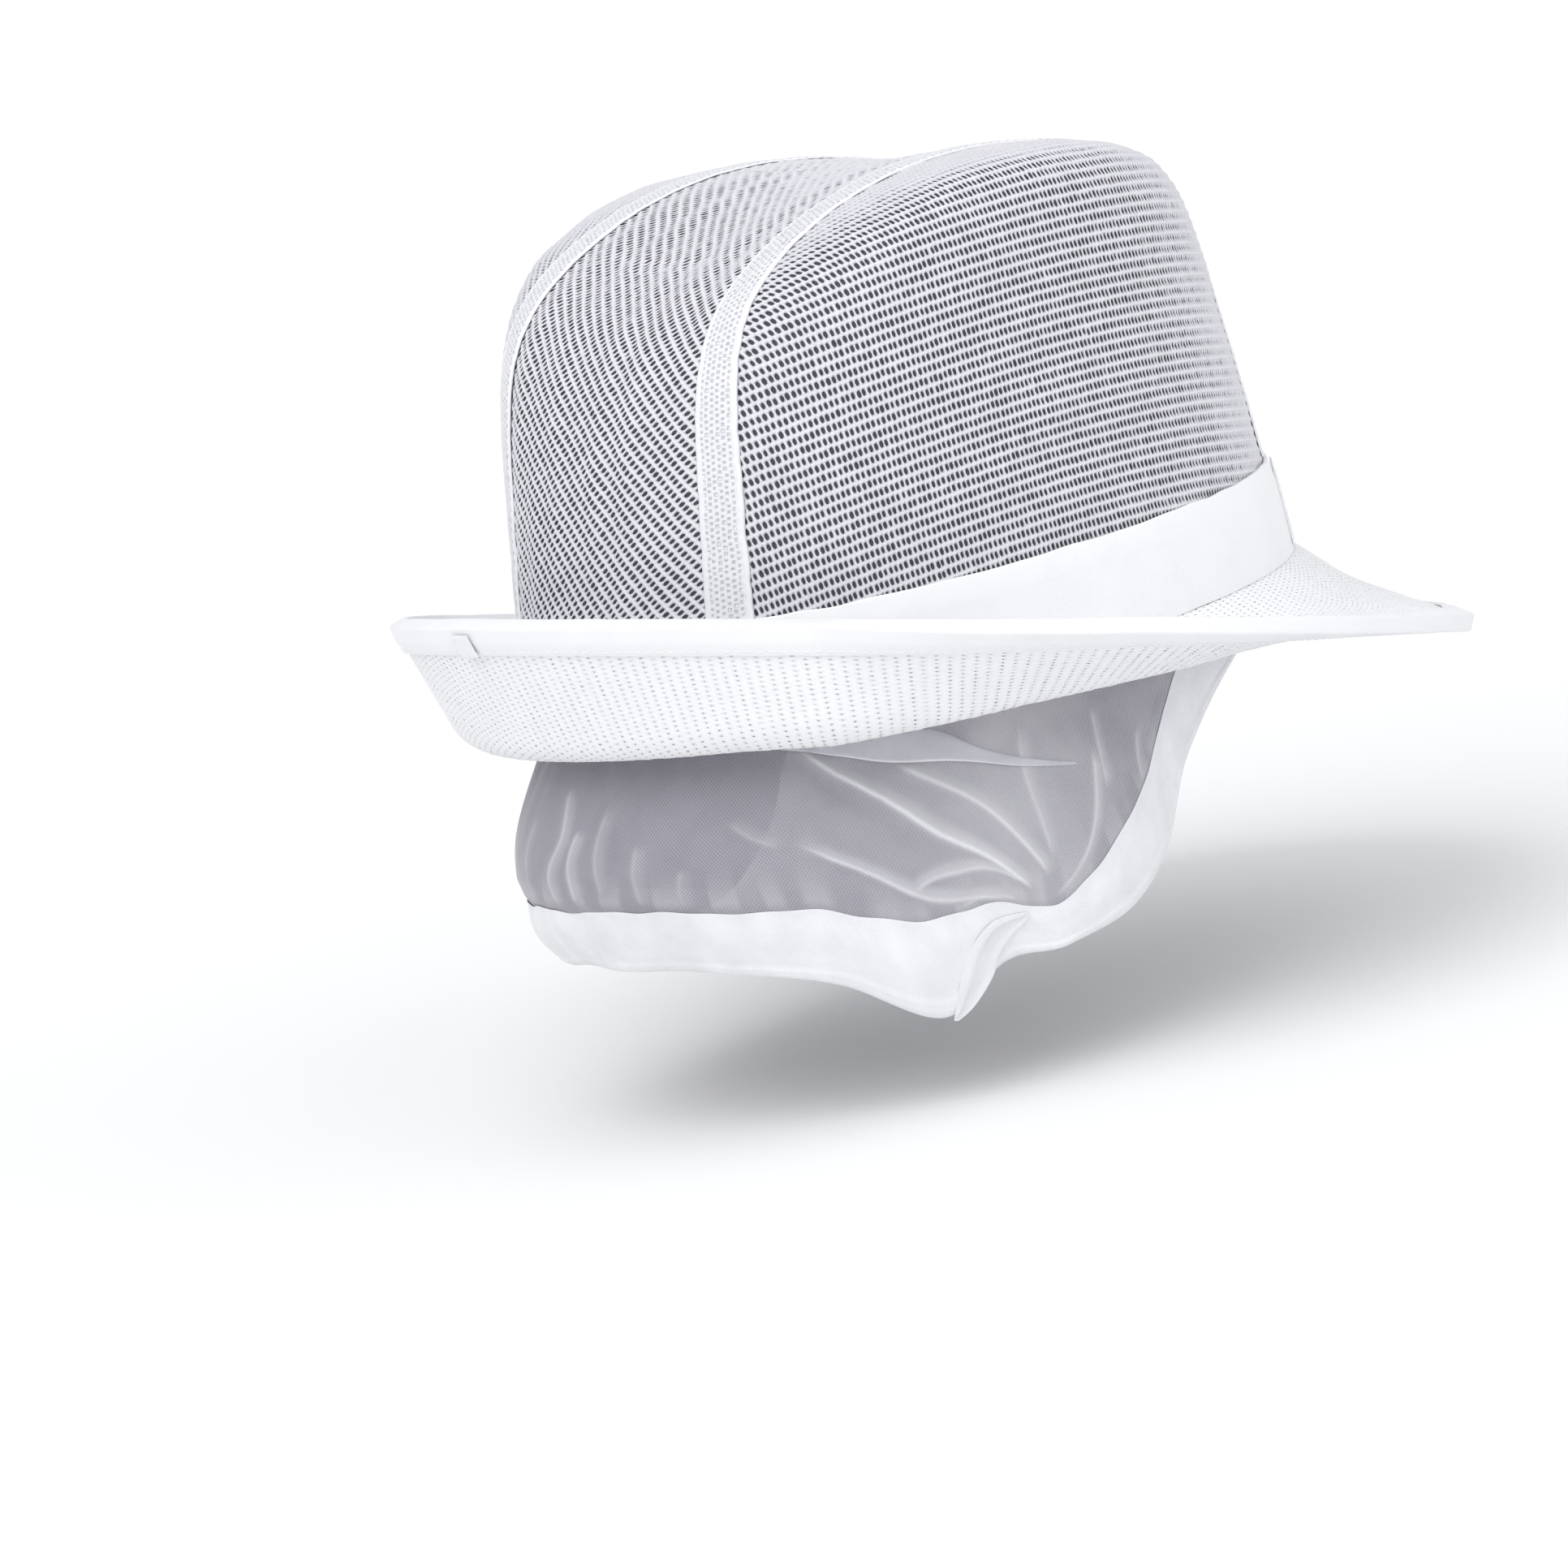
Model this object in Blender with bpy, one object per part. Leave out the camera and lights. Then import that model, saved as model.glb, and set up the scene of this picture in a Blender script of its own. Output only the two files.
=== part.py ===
# Food-hygiene trilby with a hanging hair net (snood).
# Frame: +Z up, front of the hat at -Y, the wearer's left at +X. The origin is the
# centre of the head opening, on the plane where the crown meets the brim.
# All construction numbers below are millimetres; MM turns them into metres.
import math

import bmesh
import bpy
import numpy as np

MM = 0.001

# ---------------------------------------------------------------- dimensions
CROWN_A = 106.5        # half length of the crown's outer face at the base (along Y)
CROWN_B = 85.5         # half width of the crown's outer face at the base (along X)
CROWN_H = 121.0        # crown height at its highest point
CROWN_PEAK_Y = -1.7    # where the highest point of the crown lies
CROWN_FALL_FRONT = 0.0033   # how fast the crown's top falls towards the front
CROWN_FALL_BACK = 0.0041    # and towards the back
CROWN_TAPER = (0.2145, 0.0651)   # how much shorter and narrower the crown is at the top
PANEL_T = 1.0          # mesh fabric thickness
SEAM_X = 44.6          # distance of each long seam from the middle
SEAM_GAP = 0.35        # space between the fabric edges in a seam
BASE_Z = 0.4           # lower edge of the crown panels
TAPE_HALF = 5.4        # half width of the seam tape
TAPE_T = 0.9
TAPE_OFF = 0.55        # from the panels' outer face to the tape's inner face
BAND_Z = (0.7, 24.5)   # lower and upper edge of the hat band
BAND_OFF = (0.6, 1.6)  # inner and outer face of the hat band
SWEAT_Z = (0.4, 32.5)
SWEAT_OFF = (-2.7, -1.6)

BRIM_FLAT = 3.0        # sewn-in flat part of the brim, under the crown wall
BRIM_LAYER = 0.8       # each of the three brim layers
BRIM_GAP = 0.35        # space between the layers
BRIM_EDGE_Z = 3.4      # height of the brim's edge level with the middle of the hat
BRIM_EDGE_SLOPE = 0.247  # the edge lies in a plane that rises towards the back
# The brim's section at eight stations from front (-1) to back (+1), measured by the
# cosine round the head opening: angle under the crown, length before the turn-up,
# length of the turn-up's bend, and developed width.
BRIM_STATION = (-1.0, -0.82, -0.5, 0.0, 0.35, 0.7, 0.85, 1.0)
BRIM_DROP = (-42.0, -46.0, -33.0, -26.8, -22.7, -20.2, -12.0, -7.5)
BRIM_RUN = (16.5, 15.0, 10.0, 10.0, 8.0, 7.8, 5.9, 3.5)
BRIM_BEND = (13.0, 12.5, 12.0, 14.0, 14.1, 18.9, 14.4, 13.4)
BRIM_WIDTH = (54.0, 50.5, 48.0, 50.0, 49.8, 47.7, 46.5, 48.8)
BINDING_W = 7.0
BINDING_T = 0.7
BINDING_GAP = 0.4

NET_T = 0.8
NET_HALF_ANGLE = 114.0  # the snood runs this far round each side, from the back
NET_OFF = -3.7          # middle of the net from the crown's base line, at its top
NET_TOP_Z = -4.6
TOPBAND_Z = (-4.0, 8.0)
TOPBAND_OFF = (-4.1, -3.2)
# The snood's free edge on the right side, from the back middle to the temple:
# share of the way, then x (positive towards the wearer's side), y, z.
HEM = (
    (0.00, 0.0, 108.5, -58.0),
    (0.16, 28.0, 102.0, -60.0),
    (0.32, 54.0, 82.0, -67.5),
    (0.42, 66.5, 63.5, -80.5),
    (0.52, 73.5, 47.5, -71.0),
    (0.64, 78.5, 31.0, -70.5),
    (0.76, 82.5, 10.0, -66.0),
    (0.85, 82.0, -4.0, -53.0),
    (0.92, 81.5, -15.0, -34.5),
    (0.97, 80.3, -31.0, -20.0),
    (1.00, 77.5, -46.0, -11.0),
)
HEM_LEFT_RISE = 12.0      # on the left side the hem's lowest corner hangs this much higher
# Where the net's threads start along the top edge: share of the way at the hem, share at the top.
NET_SPREAD = (
    (0.00, 0.0),
    (0.16, 0.163),
    (0.32, 0.325),
    (0.42, 0.425),
    (0.52, 0.522),
    (0.64, 0.616),
    (0.76, 0.690),
    (0.85, 0.742),
    (0.92, 0.805),
    (0.97, 0.895),
    (1.00, 1.0),
)
NET_BULGE = (13.0, 5.0)   # outward swell of the net at the back and at the sides
CASING_W = 19.0          # width of the folded hem at the back
# and its share of that width from the back middle to the temple
CASING_SHARE = (
    (0.00, 1.0),
    (0.16, 1.02),
    (0.27, 1.05),
    (0.35, 1.25),
    (0.42, 1.38),
    (0.50, 1.12),
    (0.58, 0.68),
    (0.66, 0.62),
    (0.74, 0.98),
    (0.82, 1.05),
    (0.90, 0.85),
    (1.00, 0.70),
)
CASING_T = 0.6           # each leg of the folded hem
CASING_GAP = 0.35
ELASTIC_H = 6.0
ELASTIC_T = 0.6

RING_N = 44              # stations round the brim
LOOP_N = 64              # stations round the band and the sweatband

WHITE = (0.90, 0.90, 0.91)
MESH_WHITE = (0.86, 0.865, 0.89)
NET_WHITE = (0.80, 0.80, 0.84)
RUBBER_WHITE = (0.83, 0.83, 0.82)


# ---------------------------------------------------------------- crown surface
def crown_height(y):
    fall = np.where(y < CROWN_PEAK_Y, CROWN_FALL_FRONT, CROWN_FALL_BACK)
    return CROWN_H - fall * (y - CROWN_PEAK_Y) ** 2


def crown_level(x, y, z):
    """Negative inside the crown's outer face, positive outside."""
    top = crown_height(y)
    share = np.clip(z / top, 0.0, 1.2)
    power = 14.1 - 2.4 * np.clip(y / 80.0, -1.0, 1.0)
    reach = np.clip(1.0 - share**power, 0.0, None) ** (1.0 / power)
    a = np.maximum(CROWN_A * reach * (1.0 - CROWN_TAPER[0] * share), 1e-3)
    b = np.maximum(CROWN_B * reach * (1.0 - CROWN_TAPER[1] * share), 1e-3)
    plan = 2.0 + 0.57 * np.clip(share, 0.0, 1.0)
    level = (np.abs(x) / b) ** plan + (np.abs(y) / a) ** plan - 1.0
    return np.where(z >= top * 0.99999, 1.0, level)


def to_crown(start, way, far=200.0):
    """From a point inside, along way, to the crown's outer face."""
    low = np.zeros(start.shape[:-1])
    high = low + far
    for _ in range(36):
        mid = (low + high) / 2.0
        at = start + way * mid[..., None]
        inside = crown_level(at[..., 0], at[..., 1], at[..., 2]) < 0.0
        low = np.where(inside, mid, low)
        high = np.where(inside, high, mid)
    return start + way * ((low + high) / 2.0)[..., None]


def over_crown(x, turn):
    """The crown's face at distance x from the middle; turn 0 is the back, pi the front."""
    x, turn = np.broadcast_arrays(np.asarray(x, float), np.asarray(turn, float))
    start = np.stack([x, 0 * x, 0 * x + BASE_Z], -1)
    way = np.stack([0 * x, np.cos(turn), np.sin(turn)], -1)
    return to_crown(start, way)


def round_crown(angle, z, off):
    """The crown's face at height z; angle 0 is the front, 90 degrees the wearer's left."""
    angle, z = np.broadcast_arrays(np.asarray(angle, float), np.asarray(z, float))
    way = np.stack([CROWN_B * np.sin(angle), -CROWN_A * np.cos(angle), 0 * z], -1)
    way /= np.linalg.norm(way, axis=-1)[..., None]
    at = to_crown(np.stack([0 * z, 0 * z, np.maximum(z, 0.0)], -1), way)
    nx, ny = plan_normal(angle)
    at[..., 0] += off * nx
    at[..., 1] += off * ny
    at[..., 2] = z
    return at


def side_reach(y, z):
    """How far out the side of the crown lies at (y, z)."""
    y, z = np.broadcast_arrays(np.asarray(y, float), np.asarray(z, float))
    start = np.stack([0 * y, y, z], -1)
    way = np.stack([0 * y + 1.0, 0 * y, 0 * y], -1)
    return to_crown(start, way)[..., 0]


def plan_normal(angle):
    nx, ny = np.sin(angle) / CROWN_B, -np.cos(angle) / CROWN_A
    size = np.hypot(nx, ny)
    return nx / size, ny / size


# ---------------------------------------------------------------- brim surface
def brim_value(angle, table):
    return np.interp(-np.cos(angle), BRIM_STATION, table)


def brim_section(angle, run, turned):
    """(out, up, slope) at length run along the section, whose end is turned up."""
    drop = np.radians(brim_value(angle, BRIM_DROP))
    first = brim_value(angle, BRIM_RUN)
    bend = brim_value(angle, BRIM_BEND)
    steps = 60
    part = np.linspace(0.0, 1.0, steps)
    at = run[..., None] * part
    under = np.clip(at / 3.0, 0.0, 1.0)
    under = under * under * (3.0 - 2.0 * under)
    turn = np.clip((at - first[..., None]) / bend[..., None], 0.0, 1.0)
    turn = turn * turn * (3.0 - 2.0 * turn)
    slope = drop[..., None] * under + (turned - drop)[..., None] * turn
    step = (run / (steps - 1))[..., None]
    out = np.sum((np.cos(slope)[..., 1:] + np.cos(slope)[..., :-1]) / 2.0 * step, axis=-1)
    up = np.sum((np.sin(slope)[..., 1:] + np.sin(slope)[..., :-1]) / 2.0 * step, axis=-1)
    return out, up, slope[..., -1]


def brim_turn(angle):
    """The turn-up angle that brings the brim's edge to its plane."""
    low = np.full(angle.shape, math.radians(-46.0))
    high = np.full(angle.shape, math.radians(76.0))
    width = brim_value(angle, BRIM_WIDTH)
    _, ny = plan_normal(angle)
    for _ in range(26):
        mid = (low + high) / 2.0
        out, up, _slope = brim_section(angle, width, mid)
        edge_y = -CROWN_A * np.cos(angle) + ny * out
        short = up < BRIM_EDGE_Z + BRIM_EDGE_SLOPE * edge_y
        low = np.where(short, mid, low)
        high = np.where(short, high, mid)
    return (low + high) / 2.0


def brim_point(angle, share, off, back_from_edge=None):
    """A point of the brim: share 0 is the sewn edge, 1 the outer edge. off is along the
    section's normal, below the upper face when negative."""
    angle, share = np.broadcast_arrays(np.asarray(angle, float), np.asarray(share, float))
    width = brim_value(angle, BRIM_WIDTH)
    run = share * (width + BRIM_FLAT) - BRIM_FLAT
    if back_from_edge is not None:
        run = width - back_from_edge + 0 * run
    out, up, slope = brim_section(angle, np.maximum(run, 0.0), brim_turn(angle))
    out = out + np.minimum(run, 0.0)
    out = out - off * np.sin(slope)
    up = up + off * np.cos(slope)
    nx, ny = plan_normal(angle)
    return np.stack(
        [CROWN_B * np.sin(angle) + nx * out, -CROWN_A * np.cos(angle) + ny * out, up], -1
    )


# ---------------------------------------------------------------- snood surface
def smooth_through(at, knots, values):
    """Cubic Hermite curve through the knots, with slopes from the neighbours."""
    knots = np.asarray(knots, float)
    values = np.asarray(values, float)
    slope = np.gradient(values, knots)
    i = np.clip(np.searchsorted(knots, at) - 1, 0, len(knots) - 2)
    h = knots[i + 1] - knots[i]
    t = (at - knots[i]) / h
    return (
        (2 * t**3 - 3 * t**2 + 1) * values[i]
        + (t**3 - 2 * t**2 + t) * h * slope[i]
        + (-2 * t**3 + 3 * t**2) * values[i + 1]
        + (t**3 - t**2) * h * slope[i + 1]
    )


def hem_point(u):
    """The snood's free edge; u runs from -1 (left temple) over 0 (back) to 1 (right temple)."""
    u = np.asarray(u, float)
    table = np.array(HEM)
    knots = np.concatenate([-table[:0:-1, 0], table[:, 0]])
    way = np.abs(u)
    x = smooth_through(u, knots, np.concatenate([-table[:0:-1, 1], table[:, 1]]))
    y = smooth_through(u, knots, np.concatenate([table[:0:-1, 2], table[:, 2]]))
    z = smooth_through(u, knots, np.concatenate([table[:0:-1, 3], table[:, 3]]))
    rise = np.where(u < 0.0, HEM_LEFT_RISE * np.exp(-(((way - 0.42) / 0.12) ** 2)), 0.0)
    return np.stack([-x, y, z + rise], -1)


def net_top(u):
    """The snood's sewn edge above the hem point u. The hem sweeps forward as it rises past
    the ear, so the threads down to it start further back."""
    u = np.asarray(u, float)
    table = np.array(NET_SPREAD)
    share = smooth_through(np.abs(u), table[:, 0], table[:, 1])
    angle = np.radians(180.0 + NET_HALF_ANGLE * share * np.sign(u))
    nx, ny = plan_normal(angle)
    at = np.stack(
        [
            CROWN_B * np.sin(angle) + NET_OFF * nx,
            -CROWN_A * np.cos(angle) + NET_OFF * ny,
            0 * angle + NET_TOP_Z,
        ],
        -1,
    )
    return at, nx, ny


def net_point(u, v, off=0.0):
    """A point of the net: v 0 is its top edge, 1 the snood's free edge."""
    u, v = np.broadcast_arrays(np.asarray(u, float), np.asarray(v, float))
    step = 1e-3

    def plain(a, b):
        top, nx, ny = net_top(a)
        low = hem_point(a)
        swell = NET_BULGE[1] + (NET_BULGE[0] - NET_BULGE[1]) * np.clip(np.cos(np.pi * a), 0, 1)
        swell = swell * np.clip((1.0 - np.abs(a)) / 0.2, 0.0, 1.0)
        bow = np.sin(np.pi * np.clip(b, 0, 1) ** 1.15) * swell
        at = top + (low - top) * b[..., None]
        at[..., 0] += bow * nx
        at[..., 1] += bow * ny
        return at

    at = plain(u, v)
    if np.any(np.asarray(off) != 0.0):
        du = plain(np.clip(u + step, -1, 1), v) - plain(np.clip(u - step, -1, 1), v)
        dv = plain(u, v + step) - plain(u, v - step)
        normal = np.cross(du, dv)
        normal /= np.linalg.norm(normal, axis=-1)[..., None]
        at = at - normal * np.asarray(off)[..., None]
    return at


# ---------------------------------------------------------------- mesh building
def material(name, colour, rough, metal=0.0):
    made = bpy.data.materials.new(name)
    made.use_nodes = True
    shader = made.node_tree.nodes["Principled BSDF"]
    shader.inputs["Base Color"].default_value = (*colour, 1.0)
    shader.inputs["Roughness"].default_value = rough
    shader.inputs["Metallic"].default_value = metal
    return made


def add_object(name, points, faces, colour, rough, origin=(0.0, 0.0, 0.0), smooth=True):
    origin = np.asarray(origin, float)
    mesh = bpy.data.meshes.new(name)
    mesh.from_pydata([tuple((p - origin) * MM) for p in np.asarray(points)], [], faces)
    work = bmesh.new()
    work.from_mesh(mesh)
    bmesh.ops.recalc_face_normals(work, faces=work.faces)
    work.to_mesh(mesh)
    work.free()
    mesh.polygons.foreach_set("use_smooth", [smooth] * len(mesh.polygons))
    mesh.update()
    made = bpy.data.objects.new(name, mesh)
    made.location = tuple(origin * MM)
    made.data.materials.append(material(name + "_mat", colour, rough))
    bpy.context.scene.collection.objects.link(made)
    return made


def shell(name, outer, inner, colour, rough, **more):
    """A sheet with thickness from two grids of points of the same shape."""
    rows, cols = outer.shape[:2]
    points = np.concatenate([outer.reshape(-1, 3), inner.reshape(-1, 3)])
    size = rows * cols

    def at(i, j, side):
        return side * size + i * cols + j

    faces = []
    for i in range(rows - 1):
        for j in range(cols - 1):
            faces.append((at(i, j, 0), at(i, j + 1, 0), at(i + 1, j + 1, 0)))
            faces.append((at(i, j, 0), at(i + 1, j + 1, 0), at(i + 1, j, 0)))
            faces.append((at(i, j, 1), at(i + 1, j, 1), at(i + 1, j + 1, 1)))
            faces.append((at(i, j, 1), at(i + 1, j + 1, 1), at(i, j + 1, 1)))
    for i in range(rows - 1):
        faces.append((at(i, 0, 0), at(i + 1, 0, 0), at(i + 1, 0, 1), at(i, 0, 1)))
        faces.append((at(i, cols - 1, 0), at(i, cols - 1, 1), at(i + 1, cols - 1, 1), at(i + 1, cols - 1, 0)))
    for j in range(cols - 1):
        faces.append((at(0, j, 0), at(0, j, 1), at(0, j + 1, 1), at(0, j + 1, 0)))
        faces.append((at(rows - 1, j, 0), at(rows - 1, j + 1, 0), at(rows - 1, j + 1, 1), at(rows - 1, j, 1)))
    return add_object(name, points, faces, colour, rough, **more)


def loop_solid(name, sections, rank, colour, rough, closed=True, **more):
    """sections: (stations, corners, 3), each a closed outline; swept round, capped when open.
    rank orders the corners, so that stacked pieces split their faces the same way."""
    stations, corners = sections.shape[:2]
    points = sections.reshape(-1, 3)
    faces = []
    for i in range(stations if closed else stations - 1):
        n = (i + 1) % stations
        for j in range(corners):
            k = (j + 1) % corners
            a, b = i * corners + j, i * corners + k
            c, d = n * corners + k, n * corners + j
            faces += [(a, b, c), (a, c, d)] if rank[j] <= rank[k] else [(a, b, d), (b, c, d)]
    if not closed:
        faces.append(tuple(range(corners)))
        faces.append(tuple((stations - 1) * corners + j for j in range(corners)))
    return add_object(name, points, faces, colour, rough, **more)


def crown_offset(points, off):
    """Moves points of the crown's face along its normal."""
    step = 0.05
    x, y, z = points[..., 0], points[..., 1], points[..., 2]
    grad = np.stack(
        [
            crown_level(x + step, y, z) - crown_level(x - step, y, z),
            crown_level(x, y + step, z) - crown_level(x, y - step, z),
            crown_level(x, y, z + step) - crown_level(x, y, z - step),
        ],
        -1,
    )
    grad[..., 2] = np.where(z < 2.0, 0.0, grad[..., 2])
    size = np.linalg.norm(grad, axis=-1)[..., None]
    moved = points + off * grad / np.maximum(size, 1e-9)
    return moved


# ---------------------------------------------------------------- the pieces
def seam_line(x, count):
    """The seam's run at distance x from the middle, evenly spaced, back base to front base."""
    turn = np.linspace(0.0, math.pi, 721)
    line = over_crown(x, turn)
    length = np.concatenate([[0.0], np.cumsum(np.linalg.norm(np.diff(line, axis=0), axis=1))])
    want = np.linspace(0.0, length[-1], count)
    return over_crown(x, np.interp(want, length, turn))


def side_panel(name, side):
    """D-shaped side of the crown, from the base up to the long seam."""
    rows, cols = 12, 15
    border = seam_line(SEAM_X + SEAM_GAP / 2.0, 241)
    length = np.concatenate([[0.0], np.cumsum(np.linalg.norm(np.diff(border, axis=0), axis=1))])
    corner = 0.31 * length[-1]

    def on_border(run):
        return np.stack([np.interp(run, length, border[:, k]) for k in (1, 2)], -1)

    u = np.linspace(0.0, 1.0, cols)
    v = np.linspace(0.0, 1.0, rows)
    back = on_border(v * corner)
    front = on_border(length[-1] - v * corner)
    top = on_border(corner + u * (length[-1] - 2.0 * corner))
    spread = (math.cos(0.12 * math.pi) - np.cos(math.pi * (0.12 + 0.76 * u))) / (2.0 * math.cos(0.12 * math.pi))
    base_y = border[0, 1] + (border[-1, 1] - border[0, 1]) * spread
    base = np.stack([base_y, 0 * u + BASE_Z], -1)
    U, V = u[None, :, None], v[:, None, None]
    grid = (
        (1 - V) * base[None]
        + V * top[None]
        + (1 - U) * back[:, None]
        + U * front[:, None]
        - (1 - U) * (1 - V) * base[0]
        - U * (1 - V) * base[-1]
        - (1 - U) * V * top[0]
        - U * V * top[-1]
    )
    y, z = grid[..., 0], grid[..., 1]
    x = side_reach(y, z)
    outer = np.stack([x, y, z], -1)
    edge = np.zeros(x.shape, bool)
    edge[-1], edge[:, 0], edge[:, -1] = True, True, True
    outer[..., 0] = np.where(edge, SEAM_X + SEAM_GAP / 2.0, np.maximum(outer[..., 0], SEAM_X + SEAM_GAP / 2.0))
    inner = crown_offset(outer, -PANEL_T)
    inner[..., 0] = np.where(edge, outer[..., 0], inner[..., 0])
    inner[0, :, 2] = BASE_Z
    for grid3 in (outer, inner):
        grid3[..., 0] *= side
    return shell(name, outer, inner, MESH_WHITE, 0.7)


def centre_panel():
    """Long panel up the back, over the top and down the front."""
    half = SEAM_X - SEAM_GAP / 2.0
    lines = [seam_line(x, 31) for x in np.linspace(-half, half, 9)]
    outer = np.stack(lines, 0)
    inner = crown_offset(outer, -PANEL_T)
    inner[0, :, 0], inner[-1, :, 0] = -half, half
    inner[:, 0, 2] = BASE_Z
    inner[:, -1, 2] = BASE_Z
    return shell("crown_centre_panel", outer, inner, MESH_WHITE, 0.7)


def seam_tape(name, side):
    """Doubled strip that covers a long seam, down to the hat band at both ends."""
    def above_band(x):
        turn = np.linspace(0.0, math.pi, 1441)
        line = over_crown(x, turn)
        line = line[line[:, 2] > BAND_Z[1] + 0.8]
        length = np.concatenate([[0.0], np.cumsum(np.linalg.norm(np.diff(line, axis=0), axis=1))])
        want = np.linspace(0.0, length[-1], 37)
        return np.stack([np.interp(want, length, line[:, k]) for k in range(3)], -1)

    lines = np.stack([above_band(x) for x in (SEAM_X - TAPE_HALF, SEAM_X, SEAM_X + TAPE_HALF)], 0)
    inner = crown_offset(lines, TAPE_OFF)
    outer = crown_offset(lines, TAPE_OFF + TAPE_T)
    for grid3 in (outer, inner):
        grid3[..., 0] *= side
    return shell(name, outer, inner, WHITE, 0.65)


def upright_ring(name, z_range, off_range, colour, rough, levels=2):
    angle = np.linspace(0.0, 2.0 * math.pi, LOOP_N, endpoint=False)
    z = np.linspace(z_range[0], z_range[1], levels)
    outer = [round_crown(angle, h, off_range[1]) for h in z]
    inner = [round_crown(angle, h, off_range[0]) for h in z[::-1]]
    rank = list(z) + list(z[::-1])
    return loop_solid(name, np.stack(outer + inner, 1), rank, colour, rough)


def band_join():
    """Turned-under end of the hat band, lapped over its start at the right front."""
    angle = np.radians(np.linspace(321.0, 326.5, 3))
    z = np.linspace(BAND_Z[0] + 0.6, BAND_Z[1] - 0.4, 3)
    outer = np.stack([round_crown(angle, h, BAND_OFF[1] + 1.2) for h in z], 0)
    inner = np.stack([round_crown(angle, h, BAND_OFF[1] + 0.4) for h in z], 0)
    return shell("hat_band_join", outer, inner, WHITE, 0.6)


BRIM_SHARE = (0.0, 0.057, 0.16, 0.27, 0.40, 0.56, 0.72, 0.867, 1.0)


def brim_layer(name, index, colour, rough):
    angle = np.linspace(0.0, 2.0 * math.pi, RING_N, endpoint=False)
    top = -BRIM_GAP - index * (BRIM_LAYER + BRIM_GAP)
    upper = [brim_point(angle, s, top) for s in BRIM_SHARE]
    lower = [brim_point(angle, s, top - BRIM_LAYER) for s in BRIM_SHARE[::-1]]
    rank = BRIM_SHARE + BRIM_SHARE[::-1]
    return loop_solid(name, np.stack(upper + lower, 1), rank, colour, rough)


def binding_outline(angle):
    """U-shaped tape section round the brim's outer edge."""
    top = -BRIM_GAP + BINDING_GAP
    low = -BRIM_GAP - 3 * BRIM_LAYER - 2 * BRIM_GAP - BINDING_GAP
    end = -BINDING_GAP
    path = [
        (BINDING_W, top + BINDING_T),
        (0.0, top + BINDING_T),
        (end - BINDING_T, (top + low) / 2.0 + 0.9),
        (end - BINDING_T, (top + low) / 2.0 - 0.9),
        (0.0, low - BINDING_T),
        (BINDING_W, low - BINDING_T),
        (BINDING_W, low),
        (end, low),
        (end, top),
        (BINDING_W, top),
    ]
    rows = [brim_point(angle, 1.0, off, back_from_edge=back) for back, off in path]
    return np.stack(rows, 1), [-back for back, _off in path]


def binding():
    angle = np.linspace(0.0, 2.0 * math.pi, RING_N, endpoint=False)
    outline, rank = binding_outline(angle)
    return loop_solid("brim_edge_binding", outline, rank, WHITE, 0.6)


def binding_join():
    """Folded end of the binding tape, lapped over its start at the centre back."""
    angle = np.radians(np.linspace(176.6, 180.0, 3)) + math.radians(2.0)
    off = -BRIM_GAP - 3 * BRIM_LAYER - 2 * BRIM_GAP - BINDING_GAP - BINDING_T - 0.4
    back = (BINDING_W - 0.2, BINDING_W / 2.0, 0.3)
    outer = np.stack([brim_point(angle, 1.0, off - 0.7, back_from_edge=b) for b in back], 0)
    inner = np.stack([brim_point(angle, 1.0, off, back_from_edge=b) for b in back], 0)
    return shell("brim_binding_join", outer, inner, WHITE, 0.6)


def snood_top_band():
    """Tape that sews the snood to the lower edge of the sweatband."""
    angle = np.radians(180.0 + np.linspace(-NET_HALF_ANGLE, NET_HALF_ANGLE, 43))
    outer, inner = [], []
    for z in TOPBAND_Z:
        for off, rows in ((TOPBAND_OFF[1], outer), (TOPBAND_OFF[0], inner)):
            at = round_crown(angle, max(z, 0.0), off)
            at[..., 2] = z
            rows.append(at)
    return shell("snood_top_band", np.stack(outer, 0), np.stack(inner, 0), WHITE, 0.65)


def hem_frame(u):
    """Edge point, direction up the net, outward normal, casing width and the net's reach."""
    edge = hem_point(u)
    step = 2e-3
    along = hem_point(np.clip(u + step, -1, 1)) - hem_point(np.clip(u - step, -1, 1))
    along /= np.linalg.norm(along, axis=-1)[..., None]
    top, nx, ny = net_top(u)
    reach = np.linalg.norm(top - edge, axis=-1)
    table = np.array(CASING_SHARE)
    width = np.minimum(CASING_W * smooth_through(np.abs(u), table[:, 0], table[:, 1]), 0.62 * reach)
    up = net_point(u, 1.0 - width / reach) - edge
    up /= np.linalg.norm(up, axis=-1)[..., None]
    out = np.cross(along, up)
    out /= np.linalg.norm(out, axis=-1)[..., None]
    out *= np.sign(out[..., 0] * nx + out[..., 1] * ny)[..., None]
    return edge, up, out, width, reach


HEM_SIDE = 0.985 * np.concatenate([np.linspace(0.0, 0.68, 11), np.linspace(0.68, 1.0, 14)[1:]])
HEM_U = np.concatenate([-HEM_SIDE[:0:-1], HEM_SIDE])


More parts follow.
